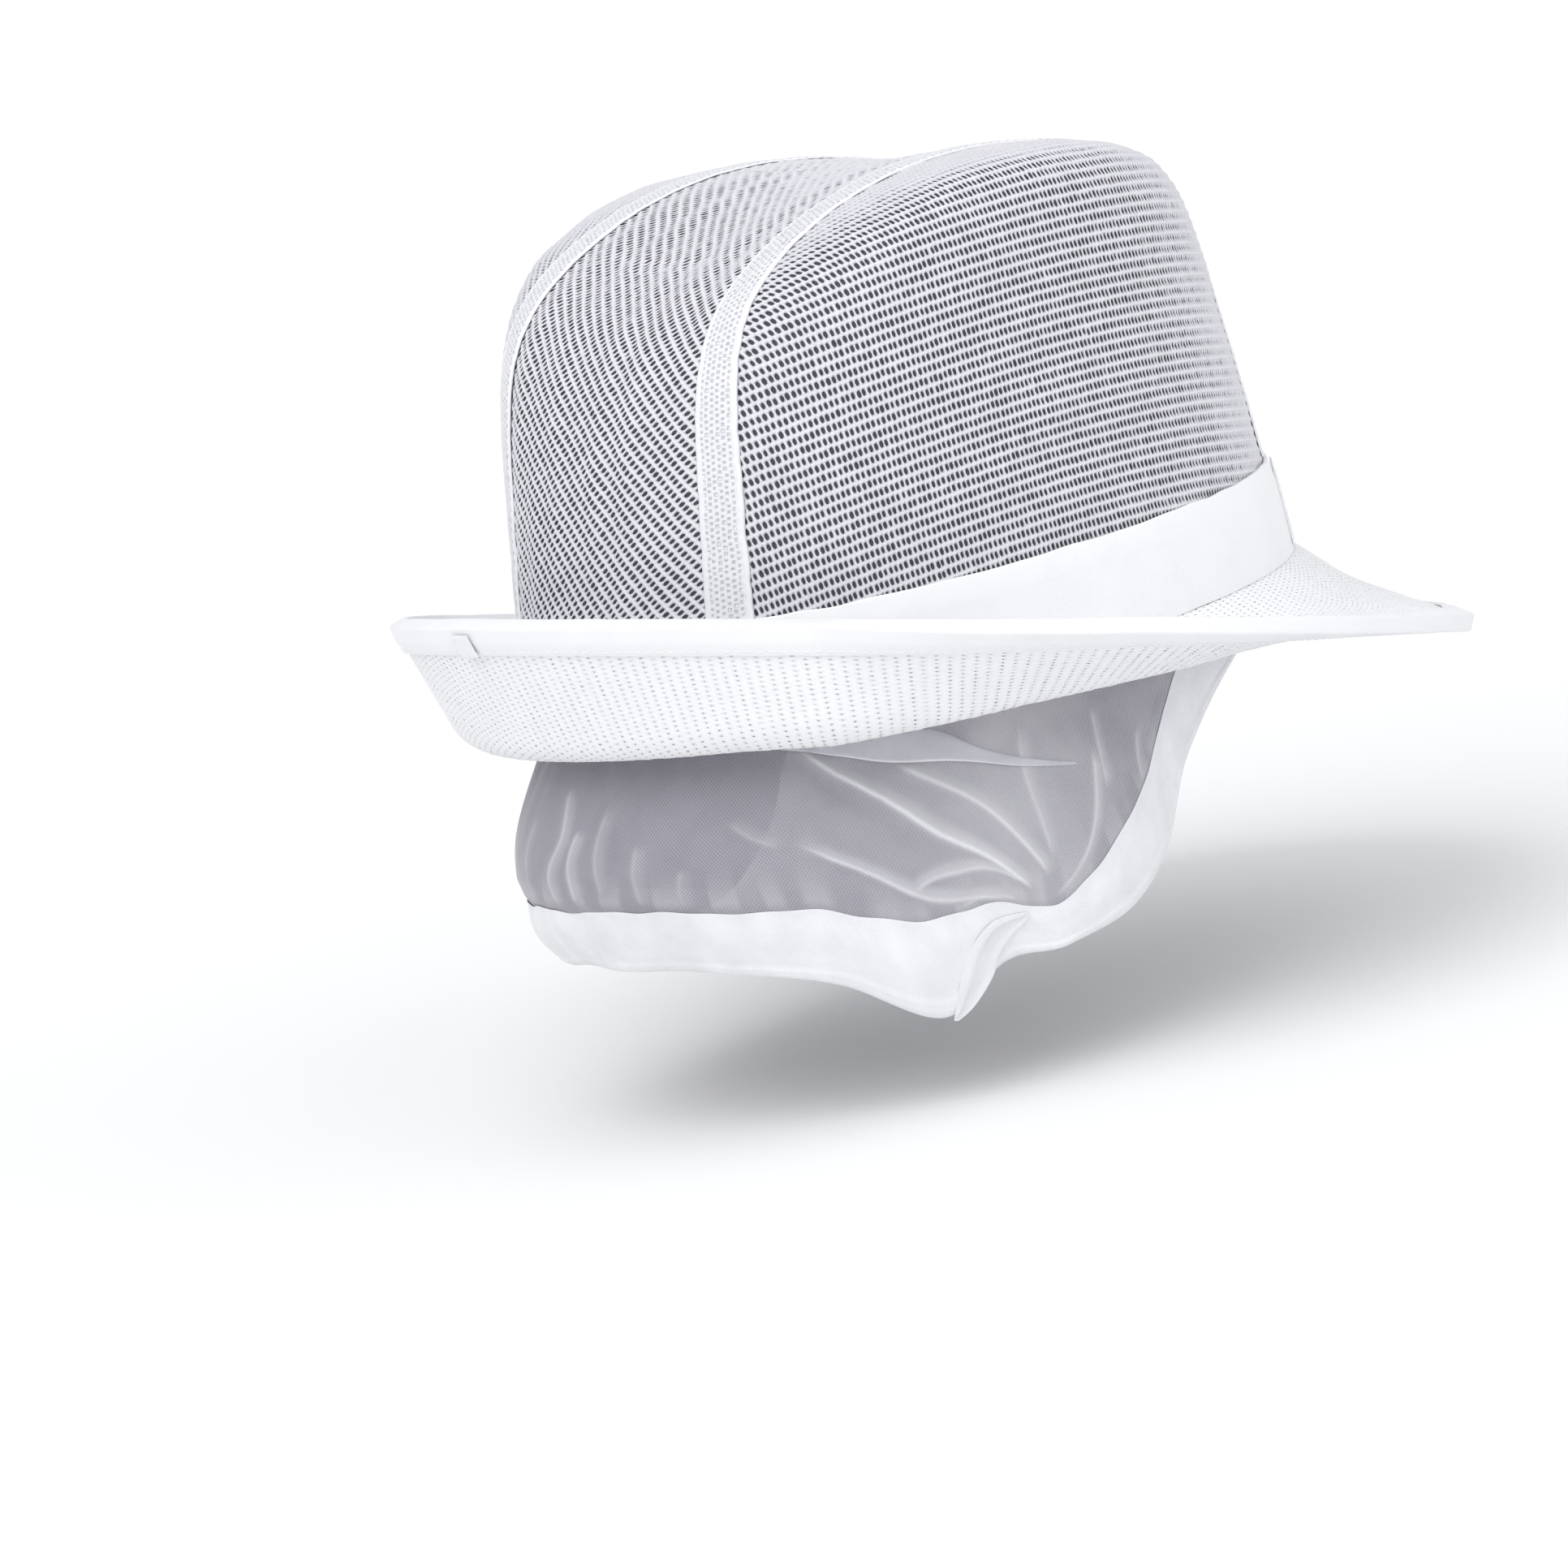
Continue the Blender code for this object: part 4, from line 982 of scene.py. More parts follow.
def seam_tape_mesh(name, side, top_mat, under_mat, thread, seed):
    count = 421
    across = np.linspace(-TAPE_HALF, TAPE_HALF, 15)
    lines, length = [], 0.0
    for a in across:
        line, length = seam_frame(count, SEAM_X + a)
        lines.append(line)
    grid = np.stack(lines, 0)
    normal = normals_of(grid)
    rng_line = noise1(count, seed, range(3, 26), closed=False)
    rims = [noise1(count, seed + 40 + k, range(6, 60), closed=False) for k in range(2)]
    low = 0.78      # how far the strip is pulled down on to the panels

    def surface(x, l, off):
        b = l / length * (count - 1)
        sway = np.where(x < 0, np.interp(b, np.arange(count), rims[0]), np.interp(b, np.arange(count), rims[1]))
        x = x * (1.0 + 0.035 * sway)
        a = (x + TAPE_HALF) / (2 * TAPE_HALF) * (len(across) - 1)
        at, n = table_2d(grid, a, b), table_2d(normal, a, b)
        n /= np.maximum(np.linalg.norm(n, axis=-1)[..., None], 1e-9)
        wave = np.interp(b, np.arange(count), rng_line)
        dome = 0.22 * np.cos(0.5 * np.pi * np.clip(x / TAPE_HALF, -1, 1)) + 0.05 * wave
        # the stitching pulls the strip down near both edges
        pull = -0.07 * (ridge(np.abs(x), TAPE_HALF - 1.25, 0.55))
        at = at + n * (TAPE_OFF - low + off + dome + pull)[..., None]
        at[..., 0] *= side
        return at

    def place(c, s, off):
        return surface(s, c, off)

    def keep(c, s):
        return (np.abs(s) < TAPE_HALF - 1.3) & (c > 1.0) & (c < length - 1.0)

    def dots(c, s):
        rng = np.random.default_rng(seed + 5)
        return rng.choice([0.12, 0.45, 0.9, 1.5], len(c), p=[0.52, 0.26, 0.14, 0.08])

    top = lattice(name + "_top", place, (0.0, length), (-TAPE_HALF + 1.3, TAPE_HALF - 1.3), (1.5, (2.0 * TAPE_HALF - 2.6) / 6.0),
                  (0.24, 0.30), keep, (0.60, 0.57, 0.36), seed, wander=0.12, lean=0.2, size_field=dots)
    paint(top, top_mat)
    face_out(top)
    # folded edges and the under layer, one closed strip
    half = [(1.5, 0.56), (0.9, 0.52), (0.4, 0.34), (0.0, 0.02), (0.4, -0.06), (1.5, -0.05)]
    path = [(TAPE_HALF - x, off) for x, off in half] + [(0.0, -0.05)] + [(x - TAPE_HALF, off) for x, off in half[::-1]]
    path += [(-TAPE_HALF + 1.8, 0.36), (0.0, 0.34), (TAPE_HALF - 1.8, 0.36)]
    l = np.linspace(0.0, length, 361)
    rows = [surface(np.full(len(l), x), l, off) for x, off in path]
    uv = np.stack([np.stack([l, np.full(len(l), x)], -1) for x, _ in path], 1)
    under = sweep(name + "_under", np.stack(rows, 1), closed=False, uv=uv.reshape(-1, 2))
    paint(under, under_mat)
    sewn = []
    for x in (-TAPE_HALF + 1.25, TAPE_HALF - 1.25):
        line = surface(np.full(len(l), x), l, np.full(len(l), 0.53))
        n = surface(np.full(len(l), x), l, np.full(len(l), 1.53)) - line
        sewn.append(paint(stitches(name + "_s", line, n, 2.1, 0.55, 0.13), thread))
    return join_meshes(name, [under, top, *sewn])


# ================================================================ bands
def ring_band(name, z_range, off_range, mat, seed, ripple=0.12, stations=720, fold=0.45, lean_in=0.0):
    """A folded band sewn round the crown's base."""
    angle = np.linspace(0.0, 2.0 * math.pi, stations, endpoint=False)
    low, high = z_range
    mid_off = 0.5 * (off_range[0] + off_range[1])
    half = 0.5 * (off_range[1] - off_range[0])
    path = [(low, half), (low + 0.25 * (high - low), half), (0.5 * (low + high), half), (low + 0.75 * (high - low), half), (high, half),
            (high, -half), (0.5 * (low + high), -half), (low, -half)]
    path = rounded(path, fold, 3)
    wave = noise1(stations, seed, range(4, 40))
    slow = noise1(stations, seed + 1, range(2, 9))
    top = noise1(stations, seed + 2, range(5, 60))
    rows, uv = [], []
    run = angle * 0.5 * (CROWN_A + CROWN_B)
    for z, off in path:
        share = (z - low) / (high - low)
        swell = 0.14 * math.sin(math.pi * min(max(share, 0.0), 1.0)) - lean_in * min(max((share - 0.8) / 0.2, 0.0), 1.0) ** 2
        zz = z + 0.18 * top * share - 0.10 * wave * (1 - share)
        o = mid_off + off + (ripple * wave * (0.35 + 0.65 * share) + 0.5 * ripple * slow) * (1 if half > 0 else 0) + swell * (1 if mid_off > 0 else -1)
        rows.append(round_crown_soft(angle, zz, o))
        uv.append(np.stack([run, np.full(stations, z + (0 if off > 0 else 40.0))], -1))
    made = sweep(name, np.stack(rows, 1), closed=True, uv=np.stack(uv, 1).reshape(-1, 2))
    return paint(made, mat)


def round_crown_soft(angle, z, off):
    """round_crown for varying z and off."""
    at = round_crown(angle, np.maximum(z, 0.0), off)
    at[..., 2] = z
    return at


def plan_vector(angle):
    nx, ny = plan_normal(angle)
    return np.stack([nx, ny, 0 * nx], -1)


# ================================================================ brim
_turns = {}


def brim_turn_at(angle):
    """brim_turn from a table, since it is slow."""
    if "t" not in _turns:
        _turns["a"] = np.linspace(0.0, 2.0 * math.pi, 721)
        _turns["t"] = brim_turn(_turns["a"])
    return np.interp(np.mod(angle, 2.0 * math.pi), _turns["a"], _turns["t"])


def brim_table(stations=720, steps=140):
    """The brim's upper face on an even grid: angle by length along the section."""
    angle = np.linspace(0.0, 2.0 * math.pi, stations, endpoint=False)
    run = np.linspace(0.0, 1.0, steps)
    width = brim_value(angle, BRIM_WIDTH)
    A, R = np.broadcast_arrays(angle[:, None], run[None, :])
    W = np.broadcast_to(width[:, None], A.shape)
    out, up, slope = brim_section(A, R * W, np.broadcast_to(brim_turn_at(angle)[:, None], A.shape))
    return angle, width, out, up, slope


_brim = {}


def on_brim(angle, run, off):
    """A point of the brim at length run (mm) from the sewn edge; off above the upper face."""
    if not _brim:
        a, w, out, up, slope = brim_table()
        _brim.update(a=a, w=w, t=np.stack([out, up, slope], -1))
        _brim["t"] = np.concatenate([_brim["t"], _brim["t"][:1]], 0)
    angle, run, off = np.broadcast_arrays(np.asarray(angle, float), np.asarray(run, float), np.asarray(off, float))
    turned = np.mod(angle, 2.0 * math.pi)
    width = brim_value(turned, BRIM_WIDTH)
    n = len(_brim["a"])
    got = table_2d(_brim["t"], turned / (2.0 * math.pi) * n, np.clip(run / width, 0.0, 1.0) * (_brim["t"].shape[1] - 1))
    out, up, slope = got[..., 0], got[..., 1], got[..., 2]
    over = np.where(run > width, run - width, np.minimum(run, 0.0))
    out = out + over * np.cos(np.where(run < 0, 0.0, slope))
    up = up + over * np.sin(np.where(run < 0, 0.0, slope))
    out = out - off * np.sin(slope)
    up = up + off * np.cos(slope)
    nx, ny = plan_normal(turned)
    return np.stack([CROWN_B * np.sin(turned) + nx * out, -CROWN_A * np.cos(turned) + ny * out, up], -1)


def brim_soft(angle, run, width):
    """Soft waves of the brim, mm."""
    t = np.clip(run / width, 0.0, 1.0)
    wave = 0.0
    for k, amp, ph in ((5, 0.32, 0.4), (9, 0.26, 2.1), (14, 0.18, 5.0), (23, 0.12, 1.2), (37, 0.07, 3.3)):
        wave = wave + amp * np.cos(k * angle + ph + 1.3 * t)
    return wave * t * 0.34


def brim_mesh_layer(name, face_off, hole_off, mat, seed, upper):
    """One mesh face of the brim: cloth whose rows run from the fold out to the binding, with small
    shallow holes over the felt."""
    mean = 0.5 * (CROWN_A + CROWN_B) + 22.0
    count = int(round(2.0 * math.pi * mean / 2.8 / 2.0)) * 2
    step = 2.0 * math.pi / count       # angle of one row
    sign = 1.0 if upper else -1.0
    ribs = noise1(720, seed + 9, range(60, 150))

    def place(c, s, off):
        angle, run = s, c
        width = brim_value(np.mod(angle, 2 * math.pi), BRIM_WIDTH)
        soft = brim_soft(angle, run, width)
        # faint ribs across the brim, where the two layers of cloth pull together
        rib = 0.05 * np.interp(np.mod(angle + 0.0006 * run, 2 * math.pi), np.linspace(0, 2 * math.pi, 720, endpoint=False), ribs, period=2 * math.pi)
        return on_brim(angle, run, face_off + sign * off + soft + sign * rib * np.clip(run / 12.0, 0, 1))

    def keep(c, s):
        return (c > 0.2) & (c < brim_value(np.mod(s, 2 * math.pi), BRIM_WIDTH) - 1.6)

    def sizes(c, s):
        rng = np.random.default_rng(seed + 3)
        moire = 0.80 + 0.30 * np.cos(s * 150.0 + 0.6 * np.sin(c * 0.35)) * np.cos(c * 0.9 + 0.8 * np.cos(s * 40.0))
        return np.clip(moire, 0.3, 1.2) * (0.8 + 0.4 * rng.random(len(c)))

    made = lattice(name, place, (0.0, 53.4), (0.0, 2.0 * math.pi), (1.335, step), (0.17, 0.12 * step), keep,
                   (0.0, -0.04, hole_off), seed, wander=0.0, lean=0.1, size_field=sizes, uv_scale=(1.0, mean), wrap=True)
    return paint(made, mat)


def binding_mesh(mat, thread):
    """The folded tape round the brim's edge, with its two rows of stitching."""
    stations = 900
    angle = np.linspace(0.0, 2.0 * math.pi, stations, endpoint=False)
    width = brim_value(angle, BRIM_WIDTH)
    top = -BRIM_GAP + BINDING_GAP
    low = -BRIM_GAP - 3 * BRIM_LAYER - 2 * BRIM_GAP - BINDING_GAP
    t = BINDING_T
    path = [(BINDING_W, top + t), (2.5, top + t), (-BINDING_GAP - t, top + t * 0.6), (-BINDING_GAP - t, low - t * 0.6), (2.5, low - t), (BINDING_W, low - t),
            (BINDING_W, low), (1.0, low), (-BINDING_GAP, low + 0.3), (-BINDING_GAP, top - 0.3), (1.0, top), (BINDING_W, top)]
    path = rounded(path, 0.9, 4)
    wave = noise1(stations, 11, range(6, 90))
    wave2 = noise1(stations, 12, range(5, 60))
    rows, uv = [], []
    around = 0.0
    last = None
    for back, off in path:
        soft = brim_soft(angle, width - back, width)
        pucker = 0.05 * wave * (1.0 if off > -2 else 0.0) + 0.05 * wave2 * (1.0 if off <= -2 else 0.0)
        sag = 0.12 * wave2 * (1.0 if back > 5.5 else 0.0)
        press = -0.30 * min(max((back - 4.5) / 2.5, 0.0), 1.0) ** 2
        sign = 1.0 if off > -2.2 else -1.0
        # pulled down along the stitching line, a little fuller towards the fold
        full = 0.16 * math.exp(-(((back - 3.4) / 1.6) ** 2)) - 0.14 * math.exp(-(((back - BINDING_W + 1.3) / 0.5) ** 2))
        inner = -0.1 < off < top + 0.02 and back > -BINDING_GAP
        lift = sign * press if (off in (low, top) or inner) else sign * (pucker + full + press)
        rows.append(on_brim(angle, width - back + sag, off + soft + lift))
        if last is not None:
            around += math.hypot(back - last[0], off - last[1])
        last = (back, off)
        uv.append(np.stack([angle * 130.0, np.full(stations, around)], -1))
    made = sweep("brim_binding_tape", np.stack(rows, 1), closed=True, uv=np.stack(uv, 1).reshape(-1, 2))
    paint(made, mat)
    sewn = []
    fine = np.linspace(0.0, 2.0 * math.pi, 1441)
    w = brim_value(np.mod(fine, 2 * math.pi), BRIM_WIDTH)
    for off, s in ((top + t, 1.0), (low - t, -1.0)):
        run = w - (BINDING_W - 1.3)
        soft = brim_soft(fine, run, w)
        line = on_brim(fine, run, off + soft - s * 0.10)
        n = on_brim(fine, run, off + soft - s * 0.10 + s) - line
        sewn.append(paint(stitches("b_s", line, n, 2.2, 0.6, 0.17), thread))
    return join_meshes("brim_binding", [made, *sewn])


def lapped_end(name, place, u_range, v_range, thick, mat, thread, seam_u, seed):
    """The turned-under end of a tape lapped over its start: a soft closed flap with a row of stitches."""
    n, m = 26, 44
    u = np.linspace(u_range[0], u_range[1], n)
    v = np.linspace(v_range[0], v_range[1], m)
    U, V = np.meshgrid(u, v, indexing="ij")
    su = (U - u_range[0]) / (u_range[1] - u_range[0]) * 2 - 1
    sv = (V - v_range[0]) / (v_range[1] - v_range[0]) * 2 - 1
    edge = (1 - np.abs(su) ** 6) ** (1 / 3.0) * (1 - np.abs(sv) ** 10) ** (1 / 3.0)
    soft = noise_field(seed, n, m, 6) * 0.06
    front = place(U, V, thick * (0.5 + 0.5 * edge) + soft * edge)
    back = place(U, V, thick * (0.5 - 0.5 * edge))
    points = np.concatenate([front.reshape(-1, 3), back.reshape(-1, 3)])
    f1 = grid_faces(n, m)
    f2 = grid_faces(n, m, first=n * m, flip=True)
    rim = []
    size = n * m
    for i in range(n - 1):
        rim.append((i * m, (i + 1) * m, (i + 1) * m + size, i * m + size))
        rim.append(((i + 1) * m - 1, (i + 2) * m - 1, (i + 2) * m - 1 + size, (i + 1) * m - 1 + size))
    for j in range(m - 1):
        rim.append((j, j + 1, j + 1 + size, j + size))
        rim.append(((n - 1) * m + j, (n - 1) * m + j + 1, (n - 1) * m + j + 1 + size, (n - 1) * m + j + size))
    uv = np.concatenate([np.stack([U * 100, V], -1).reshape(-1, 2)] * 2)
    made = to_mesh(name, points, [f1, f2, np.array(rim)], uv=uv)
    work = bmesh.new()
    work.from_mesh(made.data)
    bmesh.ops.remove_doubles(work, verts=work.verts, dist=1e-6)
    bmesh.ops.recalc_face_normals(work, faces=work.faces)
    work.to_mesh(made.data)
    work.free()
    paint(made, mat)
    line_v = np.linspace(v_range[0] + 0.8, v_range[1] - 0.8, 60)
    line = place(np.full(60, seam_u), line_v, np.full(60, thick))
    nrm = place(np.full(60, seam_u), line_v, np.full(60, thick + 1.0)) - line
    sewn = paint(stitches(name + "_s", line, nrm, 1.7, 0.5, 0.15), thread)
    return join_meshes(name, [made, sewn])


# ================================================================ snood
def net_base(u, v):
    """The net's smooth surface and outward normal; v 0 top, 1 free edge. Inside the hem it is straight."""
    u, v = np.broadcast_arrays(np.asarray(u, float), np.asarray(v, float))
    edge, up, _out, width, reach = hem_frame(u)
    vb = 1.0 - width / reach

    def plain(a, b):
        at = net_point(a, np.minimum(b, 1.0 - 0.0 * b))
        e, q, _o, w, r = hem_frame(a)
        limit = 1.0 - w / r
        corner = net_point(a, limit)
        gap = np.linalg.norm(corner - e, axis=-1)
        straight = e + q * (gap * (1.0 - b) / (1.0 - limit))[..., None]
        return np.where((b > limit)[..., None], straight, at)

    at = plain(u, v)
    du = plain(np.clip(u + 2e-3, -1, 1), v) - plain(np.clip(u - 2e-3, -1, 1), v)
    dv = plain(u, np.minimum(v + 4e-3, 1.0)) - plain(u, np.maximum(v - 4e-3, 0.0))
    n = np.cross(du, dv)
    n /= np.maximum(np.linalg.norm(n, axis=-1)[..., None], 1e-9)
    _t, nx, ny = net_top(u)
    n *= np.sign(n[..., 0] * nx + n[..., 1] * ny + 1e-12)[..., None]
    return at, n, vb


def fold_path(u, v, points, girth=165.0, reach=72.0):
    """Distance in mm from a bent line through (u, v) points, signed, and the share of the way along it."""
    best = np.full(np.shape(u), 1e9)
    sign = np.zeros(np.shape(u))
    along = np.zeros(np.shape(u))
    p = np.array(points, float) * np.array([girth, reach])
    size = np.linalg.norm(np.diff(p, axis=0), axis=1)
    total = size.sum()
    x, y = u * girth, v * reach
    done = 0.0
    for k in range(len(p) - 1):
        dx, dy = (p[k + 1] - p[k]) / size[k]
        raw = (x - p[k, 0]) * dx + (y - p[k, 1]) * dy
        t = np.clip(raw, 0.0, size[k])
        d = np.hypot(x - p[k, 0] - t * dx, y - p[k, 1] - t * dy)
        near = d < best
        side = (x - p[k, 0]) * dy - (y - p[k, 1]) * dx
        best = np.where(near, d, best)
        sign = np.where(near, np.where(side < 0, -1.0, 1.0), sign)
        along = np.where(near, (done + t) / total, along)
        done += size[k]
    return best * sign, along


def smooth_path(points, count=14):
    """More points through a bent line, so that a fold sweeps instead of breaking."""
    p = np.array(points, float)
    if len(p) < 3:
        return p
    run = np.concatenate([[0.0], np.cumsum(np.linalg.norm(np.diff(p * np.array([2.2, 1.0]), axis=0), axis=1))])
    t = np.linspace(0.0, run[-1], count)
    return np.stack([smooth_through(t, run, p[:, k]) for k in range(2)], -1)


# Folds of the net: points (u, v), height mm, half width mm, how strongly the cloth doubles there,
# and how sharply the fold starts and ends.
FOLDS = (
    (((0.335, 0.05), (0.365, 0.13), (0.429, 0.264), (0.488, 0.465), (0.545, 0.62), (0.602, 0.775)), 1.9, 1.25, 0.80, 0.10),
    (((0.449, 0.151), (0.50, 0.28), (0.55, 0.409), (0.590, 0.547), (0.618, 0.66), (0.634, 0.74)), 1.5, 1.3, 0.62, 0.12),
    (((0.310, 0.40), (0.345, 0.455), (0.382, 0.491), (0.461, 0.642), (0.52, 0.74), (0.572, 0.80)), 1.0, 1.1, 0.60, 0.16),
    (((0.415, 0.585), (0.45, 0.555), (0.496, 0.597), (0.545, 0.655), (0.592, 0.745)), 0.8, 1.0, 0.50, 0.14),
    (((0.470, 0.70), (0.52, 0.735), (0.575, 0.80)), 0.6, 1.0, 0.45, 0.2),
    (((0.655, 0.12), (0.634, 0.289), (0.637, 0.522), (0.645, 0.70)), 0.8, 1.6, 0.35, 0.2),
    (((0.765, 0.32), (0.742, 0.47), (0.706, 0.654), (0.665, 0.76), (0.632, 0.82)), 1.3, 1.5, 0.55, 0.14),
    (((0.80, 0.18), (0.775, 0.36), (0.762, 0.52)), 0.9, 1.4, 0.4, 0.2),
    (((0.866, 0.629), (0.83, 0.66), (0.785, 0.70)), 0.9, 1.1, 0.5, 0.2),
    (((0.865, 0.42), (0.842, 0.55), (0.835, 0.66)), 0.7, 1.1, 0.4, 0.2),
    (((-0.035, 0.13), (-0.02, 0.34), (-0.045, 0.52), (-0.03, 0.70)), 1.1, 1.5, 0.40, 0.12),
    (((0.012, 0.30), (-0.002, 0.45), (0.008, 0.66)), 0.9, 1.2, 0.42, 0.15),
    (((0.062, 0.20), (0.048, 0.42), (0.060, 0.66)), 0.6, 1.6, 0.25, 0.2),
    (((0.115, 0.36), (0.108, 0.52), (0.118, 0.68)), 0.5, 1.6, 0.22, 0.2),
    (((0.175, 0.48), (0.168, 0.60), (0.175, 0.70)), 0.45, 1.4, 0.2, 0.2),
    (((0.235, 0.30), (0.265, 0.38), (0.30, 0.43)), 0.5, 1.6, 0.2, 0.25),
    (((-0.30, 0.08), (-0.37, 0.26), (-0.45, 0.48), (-0.555, 0.78)), 1.6, 1.4, 0.7, 0.12),
    (((-0.47, 0.14), (-0.545, 0.40), (-0.60, 0.70)), 1.3, 1.4, 0.55, 0.12),
    (((-0.27, 0.42), (-0.36, 0.55), (-0.45, 0.68), (-0.54, 0.80)), 0.9, 1.2, 0.5, 0.16),
    (((-0.63, 0.20), (-0.645, 0.45), (-0.62, 0.72)), 0.9, 1.5, 0.4, 0.2),
    (((-0.78, 0.30), (-0.74, 0.52), (-0.68, 0.76)), 1.1, 1.5, 0.5, 0.16),
    (((-0.10, 0.25), (-0.115, 0.48), (-0.10, 0.70)), 0.7, 1.6, 0.25, 0.2),
    (((-0.19, 0.30), (-0.175, 0.48), (-0.19, 0.68)), 0.6, 1.5, 0.25, 0.2),
)


def net_folds(u, v, vb):
    """How far the net stands off its smooth surface, mm."""
    rng = np.random.default_rng(404)
    total = np.zeros(np.broadcast(u, v).shape)
    doubled = np.zeros_like(total)
    for points, amp, wide, strong, fade_at in FOLDS:
        d, t = fold_path(u, v, smooth_path(points))
        fade = np.clip(t / fade_at, 0, 1) * np.clip((1 - t) / fade_at, 0, 1)
        fade = fade * fade * (3 - 2 * fade)
        q = d / (1.25 * wide)
        total = total + 0.50 * amp * fade * (np.exp(-q * q) - 0.5 * np.exp(-((q - 1.8) ** 2) / 1.3) - 0.3 * np.exp(-((q + 2.0) ** 2) / 1.6))
        doubled = np.maximum(doubled, strong * fade * (0.50 * np.exp(-((d / 0.55) ** 2)) + 0.42 * np.exp(-(((d - 1.0) / 1.7) ** 2))))
    # fine gathers at the hem and at the sewn top
    gather = np.zeros_like(total)
    crimp = np.zeros_like(total)
    for k in range(26):
        f = rng.uniform(60, 150)
        gather += rng.normal() * np.cos(f * u + rng.uniform(0, 6.28) + rng.uniform(-3, 3) * v)
        g = rng.uniform(45, 120)
        crimp += rng.normal() * np.cos(g * u + rng.uniform(0, 6.28) + rng.uniform(-2, 2) * v)
    near_hem = np.clip((v - 0.45) / np.maximum(vb - 0.45, 0.1), 0, 1) ** 2
    near_top = np.clip((0.45 - v) / 0.45, 0, 1) ** 1.5
    total = total + 0.075 * gather * near_hem + 0.06 * crimp * near_top
    # broad slack
    total = total + 0.9 * np.cos(7.0 * u + 1.0 + 2.5 * v) * np.sin(np.pi * np.clip(v, 0, 1))
    hold = np.clip(v / 0.08, 0, 1) * np.clip((vb + 0.02 - v) / 0.10, 0.12, 1)
    side = np.clip((0.985 - np.abs(u)) / 0.08, 0, 1)
    # along the sewn top and close to the hem the cloth is gathered and stops more light
    doubled = np.maximum(doubled, 0.18 * np.clip(0.5 + 0.35 * gather, 0, 1) * near_hem)
    # pulled double over the ears, it is paler there
    pale = 0.20 * np.exp(-(((np.abs(u) - 0.60 - 0.10 * (0.5 - v)) / 0.13) ** 2))
    doubled = doubled + pale * (1.0 - doubled)
    return total * hold * side, np.clip(doubled * np.clip((vb + 0.04 - v) / 0.06, 0, 1), 0, 1)


def snood_net_mesh(mat):
    u = 0.985 * np.linspace(-1.0, 1.0, 861)
    v = np.linspace(0.0, 1.0, 116)
    U, V = np.meshgrid(u, v, indexing="ij")
    edge, up, _out, width, reach = hem_frame(u)
    last = 1.0 - np.maximum(width - 4.5, width * 0.86) / reach
    VV = V * last[:, None]
    at, n, vb = net_base(U, VV)
    folds, doubled = net_folds(U, VV, vb)
    lift = np.clip((vb - VV) / 0.08, 0, 1)
    at = at + n * (folds * (0.1 + 0.9 * lift))[..., None]
    drift = hem_drift(len(u))
    down = np.clip((VV - vb) / np.maximum(1.0 - vb, 1e-3), 0, 1)
    at = at + _out[:, None, :] * (drift[:, None] * down)[..., None]
    run = np.concatenate([[0.0], np.cumsum(np.linalg.norm(np.diff(at[:, 40], axis=0), axis=1))])
    uv = np.stack([np.broadcast_to(run[:, None], U.shape), VV * reach[:, None]], -1)
    made = to_mesh("snood_sheer_net", at.reshape(-1, 3), grid_faces(len(u), len(v)), uv=uv.reshape(-1, 2), more={"crease": doubled})
    return paint(made, mat)


def hem_drift(n):
    """The slow waves of the snood's hem from side to side, mm, at n even stations."""
    ends = np.linspace(-1.0, 1.0, n)
    wave = np.interp(ends, np.linspace(-1.0, 1.0, 400), noise1(400, 35, range(4, 13), closed=False))
    return 0.55 * wave * np.clip((1.0 - np.abs(ends)) / 0.15, 0, 1)


